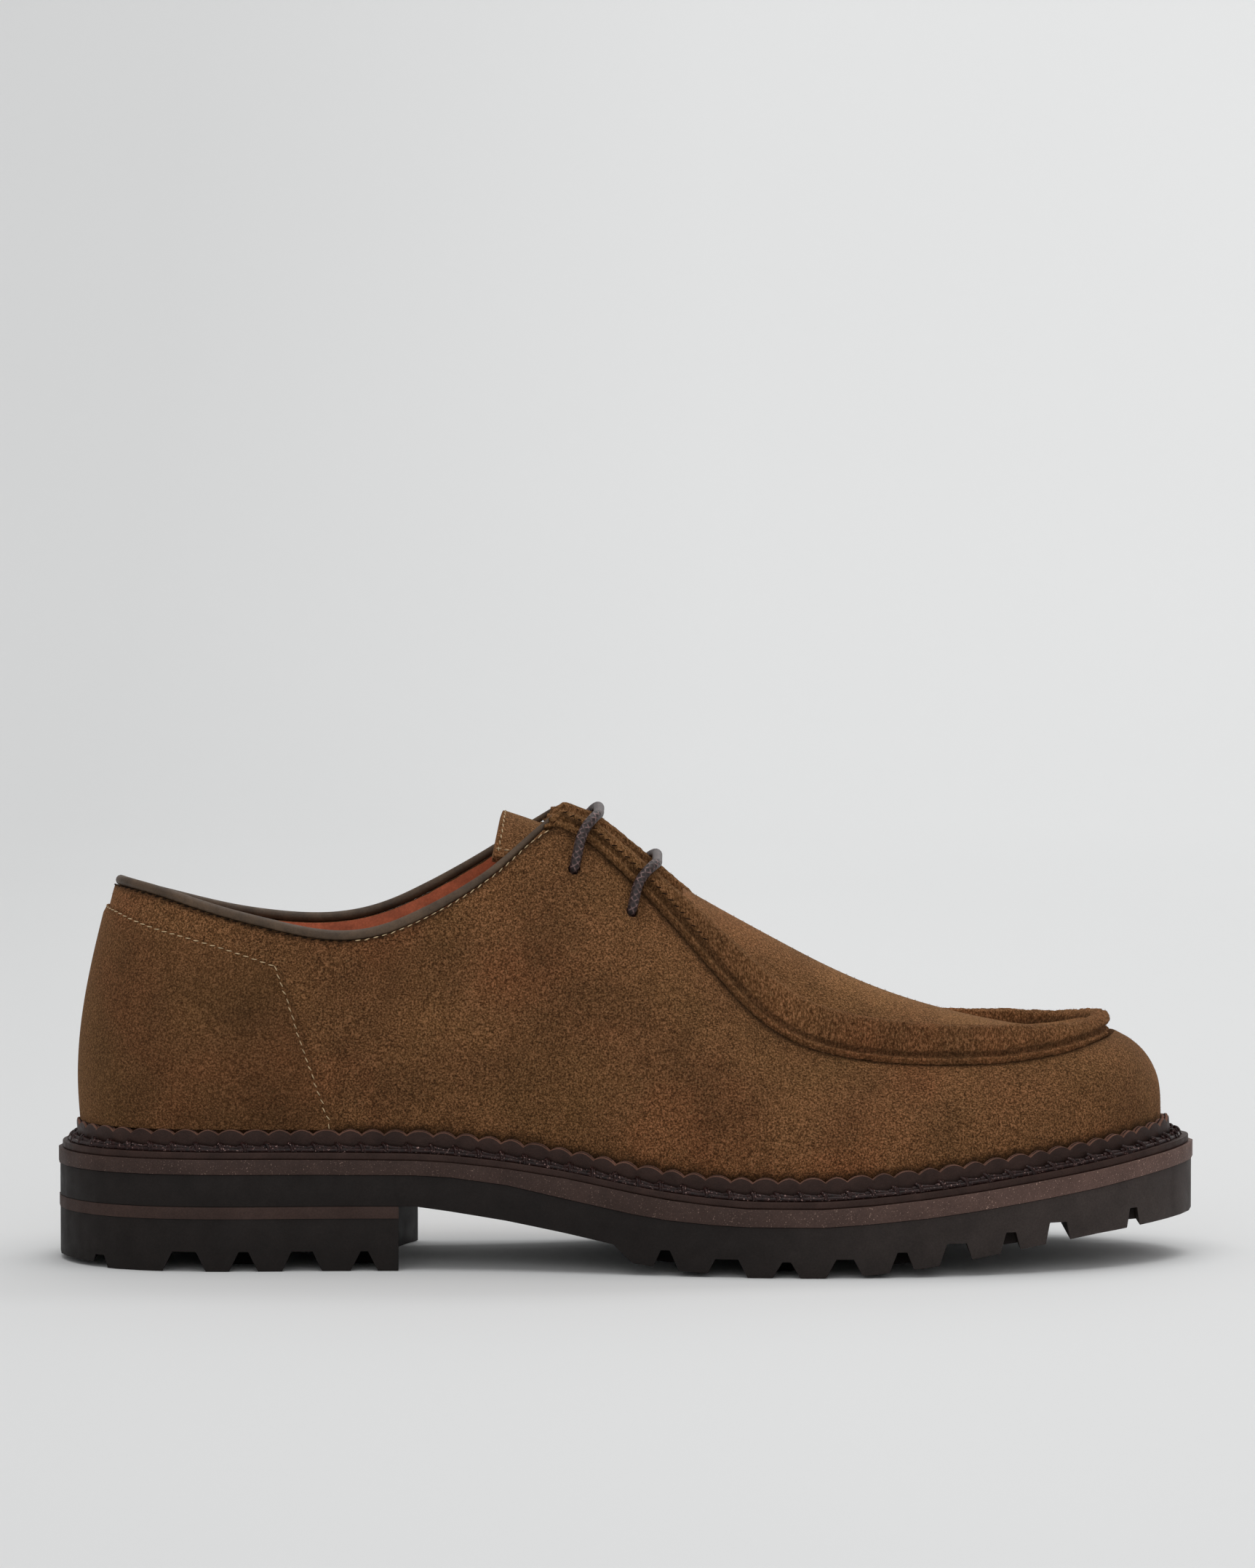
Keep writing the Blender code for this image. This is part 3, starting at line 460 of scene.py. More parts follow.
def stitched(seam, piece, name, material, keep=lambda place: True, slant=12, proud=0.5, lift=OUTER_SKIN):
    """A row of fine stitches along a seam on the piece, slanted in degrees, proud by a share of a radius."""
    wanted = sizes()
    matrices = []
    lean = Matrix.Rotation(math.radians(slant), 4, "Z")
    for along in seam.stations(wanted.stitch_pitch):
        place, normal = on_skin(piece, seam.place(along), lift)
        if keep(place):
            lifted = place + normal * wanted.stitch_radius * proud
            matrices.append(placed(lifted, seam.direction(along), normal) @ lean)
    row = repeated(thread_stitch(wanted.stitch_radius, wanted.stitch_length), matrices, name)
    finished(row, slot="upper", materials=[material], smooth=math.pi)


def add_node(tree, kind, inputs=None, **settings):
    """A shader node with its settings, and its inputs linked or set."""
    made = tree.nodes.new(kind)
    for name, value in settings.items():
        setattr(made, name, value)
    for name, value in (inputs or {}).items():
        if isinstance(value, bpy.types.NodeSocket):
            tree.links.new(value, made.inputs[name])
        else:
            made.inputs[name].default_value = value
    return made


def rgba(triple, factor=1.0):
    return (*[min(1.0, channel * factor) for channel in triple], 1)


class Finish:
    """A procedural material in the making, on the object's own coordinates."""

    def __init__(self, name, stretch=(1, 1, 1), coordinates="Object"):
        self.material = bpy.data.materials.new(name)
        self.material.use_nodes = True
        self.tree = self.material.node_tree
        self.shader = self.tree.nodes["Principled BSDF"]
        space = add_node(self.tree, "ShaderNodeTexCoord").outputs[coordinates]
        mapping = add_node(self.tree, "ShaderNodeMapping", {"Vector": space, "Scale": stretch})
        self.space = mapping.outputs["Vector"]

    def noise(self, millimetres, detail=2, rough=0.5, distortion=0.0):
        """Noise whose features are about this wide."""
        inputs = {"Vector": self.space, "Scale": 1 / (millimetres * MM), "Detail": detail}
        inputs |= {"Roughness": rough, "Distortion": distortion}
        return add_node(self.tree, "ShaderNodeTexNoise", inputs).outputs["Fac"]

    def cells(self, millimetres):
        inputs = {"Vector": self.space, "Scale": 1 / (millimetres * MM)}
        return add_node(self.tree, "ShaderNodeTexVoronoi", inputs).outputs["Distance"]

    def ramp(self, factor, *stops):
        """Colours, or greys, at shares of a factor."""
        made = add_node(self.tree, "ShaderNodeValToRGB", {"Fac": factor})
        elements = made.color_ramp.elements
        while len(elements) < len(stops):
            elements.new(0.5)
        for element, (position, shade) in zip(elements, stops):
            element.position = position
            element.color = (*shade, 1) if hasattr(shade, "__len__") else (shade, shade, shade, 1)
        return made.outputs["Color"]

    def along_shoe(self, start, end, first, last):
        """A grey that goes from first to last between two places from heel to toe, in millimetres."""
        along = add_node(self.tree, "ShaderNodeSeparateXYZ", {"Vector": self.space}).outputs["X"]
        limits = {"From Min": start * MM, "From Max": end * MM, "To Min": first, "To Max": last}
        return add_node(self.tree, "ShaderNodeMapRange", {"Value": along, **limits}).outputs["Result"]

    def mixed(self, kind, factor, first, second):
        inputs = {"Fac": factor, "Color1": first, "Color2": second}
        return add_node(self.tree, "ShaderNodeMixRGB", inputs, blend_type=kind).outputs["Color"]

    def times(self, base, shades, share=1.0):
        return self.mixed("MULTIPLY", share, base, shades)

    def clouded(self, base, millimetres, low, high, detail=3, rough=0.5):
        """The colour made darker and lighter in clouds about this wide."""
        return self.times(base, self.ramp(self.noise(millimetres, detail, rough), (0.3, low), (0.7, high)))

    def hollowed(self, base, shade, full, most):
        """The colour turned towards a darker tone, as painted shade, near the seams and cuts marked for it.
        """
        hollow = add_node(self.tree, "ShaderNodeAttribute", attribute_name="hollow").outputs["Fac"]
        return self.mixed("MIX", self.ramp(hollow, (0.0, 0.0), (full, most)), base, shade)

    def sums(self, operation, first, second):
        return add_node(self.tree, "ShaderNodeMath", {0: first, 1: second}, operation=operation).outputs[0]

    def bump(self, height, strength, millimetres, under=None):
        inputs = {"Height": height, "Strength": strength, "Distance": millimetres * MM}
        if under is not None:
            inputs["Normal"] = under
        return add_node(self.tree, "ShaderNodeBump", inputs).outputs["Normal"]

    def done(self, **sockets):
        """Fill the shader's sockets, by their short names, and hand the material back."""
        for name, value in sockets.items():
            socket = self.shader.inputs[SOCKETS[name]]
            if isinstance(value, bpy.types.NodeSocket):
                self.tree.links.new(value, socket)
            else:
                socket.default_value = value
        return self.material


SOCKETS = {
    "base": "Base Color",
    "rough": "Roughness",
    "normal": "Normal",
    "sheen": "Sheen Weight",
    "sheen_rough": "Sheen Roughness",
    "sheen_tint": "Sheen Tint",
    "coat": "Coat Weight",
    "coat_rough": "Coat Roughness",
    "specular": "Specular IOR Level",
}


def suede_finish(name, stretch=(1, 1, 1), lift=1.0, nap=0.6, contrast=1.0):
    """Brushed suede: cloudy brown, with the nap's fine light and dark strokes; lift brightens or darkens the
    whole piece as painted light or shade, and marked seams get painted shade.
    """
    tones = colours()
    made = Finish(name, stretch)
    middle, light = tones.suede, tones.suede_light
    redder = (middle[0] * 1.10, middle[1] * 0.96, middle[2] * 0.95)
    olive = (middle[0] * 0.94, middle[1] * 0.99, middle[2] * 0.94)
    clouds = made.noise(42, detail=3, rough=0.5, distortion=0.3)
    hues = made.ramp(clouds, (0.34, olive), (0.52, middle), (0.70, redder))
    shades = made.ramp(made.noise(26, detail=5, rough=0.62), (0.30, 0.66), (0.5, 0.98), (0.72, 1.22))
    base = made.times(hues, shades)
    strokes = made.noise(0.5, detail=4, rough=0.75)
    low, high = 1 - 0.72 * contrast, 1 + 1.35 * contrast
    dark, pale = (low, low * 0.84, low * 0.68), (high, high * 1.05, high * 1.28)
    base = made.times(base, made.ramp(strokes, (0.36, dark), (0.5, 0.95), (0.62, pale)))
    tips = made.ramp(made.noise(0.45, detail=2, rough=0.6), (0.60, 0.0), (0.70, 0.5 * contrast))
    base = made.mixed("MIX", tips, base, rgba(light))
    # Painted light and shade: lift makes the whole piece lighter where it faces the light, darker where it
    # lies in shade
    base = made.times(base, (lift, lift, lift, 1))
    # Painted shade: the suede turns to its dark tone along marked seams, cuts, lace holes and the welt
    base = made.hollowed(base, rgba(tones.suede_dark, 0.28), 0.85, 0.88)
    felt = made.bump(made.noise(1.5, detail=3, rough=0.65), 0.4, 0.4)
    return made.done(
        base=base,
        rough=0.95,
        normal=made.bump(strokes, nap, 0.35, felt),
        specular=0.10,
        sheen=0.16,
        sheen_rough=0.5,
        sheen_tint=rgba(light, 3.0),
    )


def leather_finish(name, tone, rough=0.42, grain=0.55, variation=0.25, coat=0.0, specular=0.3):
    """Smooth leather: fine pores, faint wrinkles, a low polish and painted shade along marked seams."""
    made = Finish(name)
    pores = made.cells(grain)
    wrinkles = made.noise(2.4, detail=4, rough=0.6, distortion=0.8)
    base = made.clouded(rgba(tone), 6, 1 - variation, 1 + variation, detail=4, rough=0.6)
    base = made.times(base, made.ramp(pores, (0.1, 1.25), (0.8, 0.6)), 0.35)
    # Painted shade: the leather darkens along marked seams, here the welt's corner by the braid
    base = made.hollowed(base, rgba(tone, 0.15), 0.7, 0.9)
    fine = made.bump(pores, 0.35, 0.08, made.bump(wrinkles, 0.3, 0.25))
    gloss = made.ramp(wrinkles, (0.3, rough - 0.06), (0.7, rough + 0.12))
    return made.done(base=base, rough=gloss, normal=fine, coat=coat, coat_rough=0.35, specular=specular)


def rubber_finish(name, tone, rough=0.62, flecks=0.0, toe_painted_light=2.5):
    """Moulded rubber: matt, paler towards the toe as painted light, with a fine skin and, in the midsole,
    pale flecks.
    """
    made = Finish(name)
    skin = made.noise(0.5, detail=3, rough=0.6)
    base = made.clouded(rgba(tone), 9, 0.82, 1.22, detail=5, rough=0.65)
    base = made.times(base, made.ramp(skin, (0.3, 0.75), (0.7, 1.3)), 0.6)
    if flecks:
        chips = made.ramp(made.noise(0.4), (0.64, 0.0), (0.72, flecks))
        base = made.mixed("MIX", chips, base, (0.3, 0.2, 0.16, 1))
    # Painted light: the rubber grows paler towards the toe, where more light falls
    base = made.times(base, made.along_shoe(20, 140, 1.0, toe_painted_light))
    normal = made.bump(skin, 0.22, 0.12, made.bump(made.noise(3.5, detail=3), 0.15, 0.2))
    gloss = made.ramp(made.noise(5, detail=4), (0.3, rough - 0.07), (0.7, rough + 0.08))
    return made.done(base=base, rough=gloss, normal=normal, specular=0.16)


def thread_finish(name, tone, rough=0.6, spread=0.35, specular=0.3, glints=0.0):
    """Twisted thread, a little darker here and there, with pale specks as painted glints if wanted."""
    made = Finish(name)
    base = made.clouded(rgba(tone), 1.1, 1 - spread, 1 + spread)
    if glints:
        # Painted glints: sparse pale specks stand for the wax's highlights
        specks = made.ramp(made.noise(0.55), (0.64, 0.0), (0.72, glints))
        base = made.mixed("MIX", specks, base, (0.42, 0.27, 0.24, 1))
    normal = made.bump(made.noise(0.22), 0.6, 0.1)
    return made.done(base=base, rough=rough, normal=normal, specular=specular)


def woven_finish(name, tone, repeats):
    """A waxed cord: two sets of strands that cross as they wind round it, with painted glints on the weave's
    tops, on its own UV map.
    """
    made = Finish(name, (repeats, 6, 1), coordinates="UV")
    bands = []
    for turn in (math.radians(45), math.radians(-45)):
        turned = add_node(made.tree, "ShaderNodeMapping", {"Vector": made.space, "Rotation": (0, 0, turn)})
        inputs = {"Vector": turned.outputs["Vector"], "Scale": 0.32, "Distortion": 0.6, "Detail": 1.0}
        bands.append(add_node(made.tree, "ShaderNodeTexWave", inputs).outputs["Fac"])
    weave = made.sums("MAXIMUM", *bands)
    base = made.times(rgba(tone), made.ramp(weave, (0.2, 0.45), (0.9, 1.15)))
    # Painted glints: the tops of the weave are made pale in patches
    tops = made.ramp(weave, (0.86, 0.0), (1.0, 1.0))
    painted_glint_patches = made.ramp(made.noise(900, detail=3), (0.46, 0.0), (0.58, 0.9))
    base = made.mixed("MIX", made.sums("MULTIPLY", tops, painted_glint_patches), base, rgba(tone, 7))
    normal = made.bump(weave, 0.7, 0.16)
    return made.done(base=base, rough=0.5, normal=normal, coat=0.12, coat_rough=0.3, specular=0.35)


def centre_line(piece):
    """The middle line of a tube, found ring by ring from its capped end."""
    shape = bmesh.new()
    shape.from_mesh(piece.data)
    bends = [e for e in shape.edges if len(e.link_faces) == 2 and e.calc_face_angle(0) > VERY_SHARP]
    ends = {v for e in bends for v in e.verts}
    ring = [v for v in ends if v.co.y < 0]
    seen, middles = set(ring), []
    while ring:
        middles.append(np.mean([v.co[:] for v in ring], axis=0))
        ahead = {e.other_vert(v) for v in ring for e in v.link_edges} - seen
        seen |= ahead
        ring = sorted(ahead, key=lambda v: v.index)
    shape.free()
    return middles


class SHOE_OT_sole(bpy.types.Operator):
    """Round the edges of the outsole, heel and midsole, close the layers up, and give them their rubber"""

    bl_idname = "shoe.sole"
    bl_label = "Outsole, heel and midsole"

    def execute(self, context):
        tones, wanted = colours(), sizes()
        rubber = rubber_finish("outsole_rubber", tones.rubber, toe_painted_light=3.6)
        layer = rubber_finish("heel_layer_rubber", tones.midsole, rough=0.66)
        midsole = rubber_finish("midsole_rubber", tones.midsole, rough=0.58, flecks=0.55)
        for node, slot, material, rounding, raised in (
            ("outsole", "outsole", rubber, 0.7, True),
            ("heel_block", "outsole", rubber, 0.9, False),
            ("heel_lift", "midsole", layer, 0.2, False),
            ("midsole", "midsole", midsole, 0.3, True),
        ):
            piece = copy_of(node, node + "_moulded")
            if raised:
                upwards = [face for face in piece.data.polygons if face.normal.z > 0.7]
                tops = sorted({point for face in upwards for point in face.vertices})
                pulled(piece, tops, (0, 0, wanted.layer_gap / MM))
            modified(piece, "DECIMATE", decimate_type="DISSOLVE", angle_limit=math.radians(0.5))
            modified(
                piece,
                "BEVEL",
                width=wanted.rubber_edge * rounding,
                segments=3,
                limit_method="ANGLE",
                angle_limit=math.radians(32),
                use_clamp_overlap=True,
            )
            finished(piece, node, slot=slot, materials=[material], smooth=math.radians(30))
        return {"FINISHED"}


class SHOE_OT_welt(bpy.types.Operator):
    """Raise the welt's standing lip, cut it into scallops, and give the cut tops their raw leather, made
    paler also as painted highlight
    """

    bl_idname = "shoe.welt"
    bl_label = "Scalloped welt"

    def execute(self, context):
        wanted = sizes()
        piece = copy_of("welt", "welt_scalloped")
        tops = sorted(chains_of(piece), key=lambda chain: -chain.middle[2])[:2]
        outer, inner = (chain.seam() for chain in sorted(tops, key=lambda chain: -chain.length))
        softened(piece, 0.92, 3)
        lip, cusp_width, cut_width = 0.8 * MM, 0.46 * MM, 2.3 * MM
        crests = gaps_to([*outer.points, *inner.points], points_of(piece)) < lip
        pulled(piece, crests, (0, 0, wanted.lip_rise / MM))
        for seam in (outer, inner):
            seam.points[:, 2] += wanted.lip_rise
        places = points_of(piece)
        cusps = np.zeros(len(places), bool)
        for along in outer.stations(wanted.scallop_pitch):
            near = np.array(outer.place(along))
            far = inner.points[np.argmin(np.linalg.norm(inner.points - near, axis=1))]
            across = far - near
            share = np.clip((places - near) @ across / (across @ across), -0.3, 1.3)
            gap = np.linalg.norm(places - near - share[:, None] * across, axis=1)
            cusps |= gap < cusp_width
        pulled(piece, cusps, (0, 0, -wanted.scallop_depth / MM), wanted.scallop_pitch / 2 / MM, "SHARP")
        leather = leather_finish("welt_leather", colours().welt, rough=0.5, grain=0.4, specular=0.15)
        cut = leather_finish("welt_cut_edge_and_highlight", colours().welt_edge_and_highlight, rough=0.8, grain=0.3, variation=0.4)
        finished(piece, "welt", slot="welt", materials=[leather, cut])
        gaps = gaps_to(outer.points, [face.center for face in piece.data.polygons])
        # Upward faces at the lip's top get the paler edge leather: partly raw edge colour, partly painted
        # highlight
        for face, gap in zip(piece.data.polygons, gaps):
            if face.normal.z > 0.4 and gap < cut_width:
                face.material_index = 1
        return {"FINISHED"}


def strand(route, radius, sides, shares=None):
    """A round strand through these points, its radius times its shares, as a mesh with a UV map."""
    line = bpy.data.curves.new("strand", "CURVE")
    line.dimensions = "3D"
    line.bevel_depth = radius
    line.bevel_resolution = sides
    line.resolution_u = 3
    line.use_fill_caps = True
    spline = line.splines.new("NURBS")
    spline.points.add(len(route) - 1)
    for index, (point, place) in enumerate(zip(spline.points, route)):
        point.co = (*place, 1)
        point.radius = 1 if shares is None else shares[index]
    spline.order_u = 3
    spline.use_endpoint_u = True
    only(linked("strand", line))
    bpy.ops.object.convert(target="MESH")
    return bpy.context.active_object


class SHOE_OT_braid(bpy.types.Operator):
    """Sew the heavy waxed seam into the corner of the welt"""

    bl_idname = "shoe.braid"
    bl_label = "Welt seam"

    def execute(self, context):
        wanted = sizes()
        corner = measured("welt", lambda guide: chains_of(guide, concave=True))[0].seam()
        # Painted shade on the welt along the corner where the braid lies
        mark_hollows(bpy.data.objects["welt_scalloped"], corner.points, 2.7)
        radius, half = wanted.braid_strand, wanted.scallop_pitch / 2
        runs = (
            # a strand's share of the radius, then its places: along in half pitches, outward and up in radii
            (1.0, (-1.25, 1.0, 1.5), (-0.7, 1.5, 2.0), (0.1, 1.3, 1.5), (0.9, 0.95, 1.0), (1.25, 0.9, 0.9)),
            (1.0, (-1.2, 2.3, 0.7), (-0.5, 2.6, 0.85), (0.3, 2.4, 0.75), (1.2, 2.1, 0.6)),
            (0.72, (-0.95, 0.9, 3.0), (-0.80, 1.9, 2.7), (-0.66, 2.7, 1.6), (-0.62, 3.2, 0.3)),
            (0.72, (-0.70, 1.0, 2.7), (-0.60, 1.9, 2.3), (-0.50, 2.5, 1.4), (-0.42, 2.9, 0.2)),
        )
        parts = []
        for share, *run in runs:
            route = [(x * half, -outward * radius, up * radius) for x, outward, up in run]
            parts.append(strand(route, radius * share, sides=1))
        unit = joined(parts, "braid_stitch")
        upright = Vector((0, 0, 1))
        stations = corner.stations(wanted.scallop_pitch)
        matrices = [placed(corner.place(along), corner.direction(along), upright) for along in stations]
        outward = matrices[0].to_3x3() @ Vector((0, -1, 0))
        if outward.dot(matrices[0].translation) < 0:
            half_turn = Matrix.Diagonal((-1, -1, 1, 1))
            matrices = [matrix @ half_turn for matrix in matrices]
        braid = repeated(unit, matrices, "welt_braid")
        tone = colours().braid
        # The braid gets painted glints
        material = thread_finish("waxed_braid", tone, rough=0.34, spread=0.7, specular=0.2, glints=0.8)
        finished(braid, slot="welt", materials=[material], smooth=math.pi)
        return {"FINISHED"}


class SHOE_OT_insole(bpy.types.Operator):
    """Cover the insole with its own leather"""

    bl_idname = "shoe.insole"
    bl_label = "Insole"

    def execute(self, context):
        piece = copy_of("insole", "insole_cover")
        softened(piece, 0.7, 1)
        material = leather_finish("insole_leather", colours().insole, rough=0.6, grain=0.7, specular=0.15)
        finished(piece, "insole", slot="insole", materials=[material])
        return {"FINISHED"}


def lace_holes(piece):
    """Centre and axis of each lace hole, from the small round edges on both skins of the upper."""
    rings = []
    for chain in chains_of(piece):
        if len(chain.points) > 12 and chain.length < HOLE_EDGE_LENGTH:
            away = np.linalg.norm(chain.points - np.median(chain.points, axis=0), axis=1)
            rings.append(chain.points[away < HOLE_EDGE_LENGTH / 6].mean(axis=0))
    holes = []
    while rings:
        first = rings.pop(0)
        nearest = int(np.argmin([np.linalg.norm(ring - first) for ring in rings]))
        second = rings.pop(nearest)
        holes.append((Vector((first + second) / 2), Vector(first - second)))
    return holes


def faces_inwards(face):
    """Whether a face of the shell looks at the foot, behind the turned edge at the toe."""
    return face.center.x < LINING_END and face.normal.dot(from_foot(face.center)) < -0.25


OUTER, INNER = 1, -1
CREASES = (
    # x, z along each soft trough in mm, the side, its depth and its reach
    (((-20, 40), (-12, 52), (-6, 66)), OUTER, 0.7, 12),
    (((36, 38), (44, 50), (50, 60)), OUTER, 0.5, 10),
    (((-114, 62), (-104, 58), (-92, 61)), OUTER, 0.8, 13),
    (((-70, 50), (-62, 60), (-56, 72)), OUTER, 0.5, 12),
    (((88, 36), (98, 44), (110, 48)), OUTER, 0.4, 9),
    (((-24, 42), (-14, 54), (-8, 70)), INNER, 0.7, 12),
    (((34, 38), (42, 50), (48, 58)), INNER, 0.5, 10),
    (((-112, 60), (-102, 56), (-90, 60)), INNER, 0.7, 13),
)


def creased_by_wear(piece):
    """Press soft troughs into both sides of the piece, each along its own line."""
    places = points_of(piece)
    for line, side, depth, reach in CREASES:
        seam = Seam([(x * MM, 0, z * MM) for x, z in line])
        near = np.full(len(places), 1e9)
        for along in np.linspace(0, seam.length, 12):
            spot = np.array(seam.place(along))
            near = np.minimum(near, np.hypot(places[:, 0] - spot[0], places[:, 2] - spot[2]))
        beside = places[:, 1] * side < -12 * MM
        pulled(piece, (near < 1.2 * MM) & beside, (0, depth * side, 0), reach)


class SHOE_OT_upper(bpy.types.Operator):
    """Smooth and crease the suede shell, line it with rust leather, punch its lace holes and raise its nap"""

    bl_idname = "shoe.upper"
    bl_label = "Upper and lining"

    def execute(self, context):
        wanted = sizes()
        piece = copy_of("upper", "upper_suede")
        holes = lace_holes(piece)
        places = points_of(piece)
        walls = np.zeros(len(places), bool)
        for centre, axis in holes:
            away = places - np.array(centre)
            along = away @ np.array(axis.normalized())
            across = np.linalg.norm(away - np.outer(along, axis.normalized()), axis=1)
            walls |= (across < HOLE_WALL[0]) & (np.abs(along) < HOLE_WALL[1])
        select_points(piece, walls)
        bpy.ops.mesh.delete(type="VERT")
        bpy.ops.mesh.select_all(action="SELECT")
        bpy.ops.mesh.fill_holes(sides=0)
        bpy.ops.object.mode_set(mode="OBJECT")
        softened(piece, 0.92, 2)
        creased_by_wear(piece)
        x, y, z = points_of(piece).T
        cap = (x > 128 * MM) & (np.abs(y) < 22 * MM) & (z > 48 * MM) & (z < 58 * MM)
        pulled(piece, cap, (0.9, 0, 0.7), 13)
        cutters = []
        for centre, axis in holes:
            bpy.ops.mesh.primitive_cylinder_add(vertices=24, radius=wanted.lace_hole, depth=10 * MM)
            cutter = bpy.context.active_object
            cutter.data.transform(placed(centre, axis.orthogonal().normalized(), axis.normalized()))
            cutters.append(cutter)
        punch = joined(cutters, "punch")
        modified(piece, "BOOLEAN", object=punch, operation="DIFFERENCE", solver="EXACT")
        bpy.data.objects.remove(punch)
        suede = suede_finish("suede", contrast=1.12)
        lining = leather_finish("lining_leather", colours().lining, rough=0.5, grain=0.6, coat=0.05)
        piece.data.materials.clear()
        finished(piece, "upper", slot="upper", materials=[suede, lining], smooth=math.radians(50))
        for face in piece.data.polygons:
            face.material_index = int(faces_inwards(face))
        # Painted shade on the suede round the lace holes
        mark_hollows(piece, [centre for centre, _ in holes], 3.2)
        nap_x, nap_z = 118 * MM, 36 * MM
        fibres(piece, "upper_nap", 7000, 0.5, 3, keep=lambda x, z: (np.abs(x) > nap_x) & (z > nap_z))
        return {"FINISHED"}


class SHOE_OT_counter(bpy.types.Operator):
    """Smooth the counter and stitch its edge with pale thread"""

    bl_idname = "shoe.counter"
    bl_label = "Counter"

    def execute(self, context):
        wanted = sizes()
        piece = copy_of("counter", "counter_suede")
        chains = chains_of(piece)
        top = next(c for c in chains if c.middle[2] > 80 * MM and len(c.points) > 20)
        ends = [c for c in chains if abs(c.points[0][2] - c.points[-1][2]) > 30 * MM]
        left = min(ends, key=lambda chain: chain.middle[1])
        right = max(ends, key=lambda chain: chain.middle[1])
        softened(piece, 0.7, 2)
        places = points_of(piece)
        for chain in (top, left, right):
            for index in np.flatnonzero(gaps_to(chain.seam().points, places) < 1.3 * MM):
                point = piece.data.vertices[index]
                point.co -= from_foot(point.co) * wanted.counter_skive
        # lift 0.80 is painted shade: the counter is darker where less light falls
        suede = suede_finish("counter_suede", lift=0.80, contrast=0.92)
        finished(piece, "counter", slot="upper", materials=[suede])
        centre, seam_end = Vector((-122 * MM, 0, 55 * MM)), 37 * MM
        thread = thread_finish("pale_thread", colours().pale_thread)
        for name, chain in (("top", top), ("left", left), ("right", right)):
            seam = shifted(chain, piece, towards(centre, wanted.counter_seam))
            stitched(seam, piece, f"counter_stitches_{name}", thread, keep=lambda place: place.z > seam_end)
        return {"FINISHED"}


class SHOE_OT_apron(bpy.types.Operator):
    """Smooth the apron and raise its nap"""

    bl_idname = "shoe.apron"
    bl_label = "Apron"

    def execute(self, context):
        piece = copy_of("apron", "apron_suede")
        softened(piece, 0.6, 2)
        # lift 1.30 is painted light on the apron's lit top
        finished(piece, "apron", slot="upper", materials=[suede_finish("apron_suede", lift=1.30)])
        fibres(piece, "apron_nap", 7000, 0.6, 5)
        return {"FINISHED"}


class SHOE_OT_rim(bpy.types.Operator):
    """Shape the apron's seam, raise its nap, shade what lies beside it, and gather its ridges with thread"""

    bl_idname = "shoe.rim"
    bl_label = "Apron seam"

    def execute(self, context):
        wanted = sizes()
        piece = copy_of("apron_seam", "apron_seam_suede")
        groove = chains_of(piece, concave=True)[0]
        softened(piece, 0.35, 3)
        line = groove.seam()
        select_points(piece, gaps_to(line.points, points_of(piece)) < 0.45 * MM)
        bpy.ops.transform.shrink_fatten(
            value=-wanted.rim_groove,
            use_proportional_edit=True,
            proportional_edit_falloff="SHARP",
            proportional_size=1.3 * MM,
        )
        bpy.ops.object.mode_set(mode="OBJECT")
        # The rear end is drawn back and lowered, then its crown is rounded.
        for depth, move, reach in ((1.5, (-4.6, 0, 0.6), 8.5), (1.0, (-0.9, 0, -1.6), 3.5)):
            x = points_of(piece)[:, 0]
            pulled(piece, x < x.min() + depth * MM, move, reach)
        x, _, z = points_of(piece).T
        behind = x < x.min() + 2 * MM
        pulled(piece, behind & (z > z[behind].max() - 1.2 * MM), (1.8, 0, -1.3), 3.6, "SPHERE")
        # At the toe the lower ridge is drawn in under the upper one.
        x, _, z = points_of(piece).T
        order = np.argsort(line.points[:, 0])
        low = z < np.interp(x, line.points[order, 0], line.points[order, 2])
        pulled(piece, (x > x.max() - 1.6 * MM) & low, (-1.5, 0, -0.4), 2.4)
        shell, apron = bpy.data.objects["upper_suede"], bpy.data.objects["apron_suede"]
        welt = bpy.data.objects["welt_scalloped"]
        rim = points_of(piece)
        # Painted shade: each piece is darkened where it meets the apron's seam, the throat, the welt or the
        # apron
        for darker, points, reach in (
            (piece, line.points, 1.1),
            (shell, rim, 1.4),
            (shell, rim[rim[:, 0] < wanted.gather_end * 2], 2.3),
            (shell, points_of(welt), 2.0),
            (apron, rim, 1.2),
            (piece, points_of(apron), 2.4),
        ):
            mark_hollows(darker, points, reach)
        for width, share in ((1.6, 2.2), (0.6, 1.5)):
            texture = bpy.data.textures.new("nap", "CLOUDS")
            texture.noise_scale = width * MM
            texture.noise_depth = 1
            modified(piece, "DISPLACE", texture=texture, strength=wanted.nap * share)
        # lift 1.16 is painted light on the seam's lit ridges
        material = suede_finish("rim_suede", stretch=(1, 1, 0.5), lift=1.16, nap=1.0, contrast=0.95)
        finished(piece, "apron_seam", slot="upper", materials=[material], smooth=math.pi)
        fibres(piece, "rim_nap", 12000, 1.0, 7)
        thread = thread_finish("dark_thread", colours().dark_thread, rough=0.85, specular=0.05)
        close, end = 0.8 * MM, wanted.gather_end
        seam = shifted(groove, piece, downwards(0), close)
        stitched(
            seam, piece, "rim_gathers", thread, lambda place: place.x < end, slant=38, proud=0.4, lift=close
        )
        return {"FINISHED"}


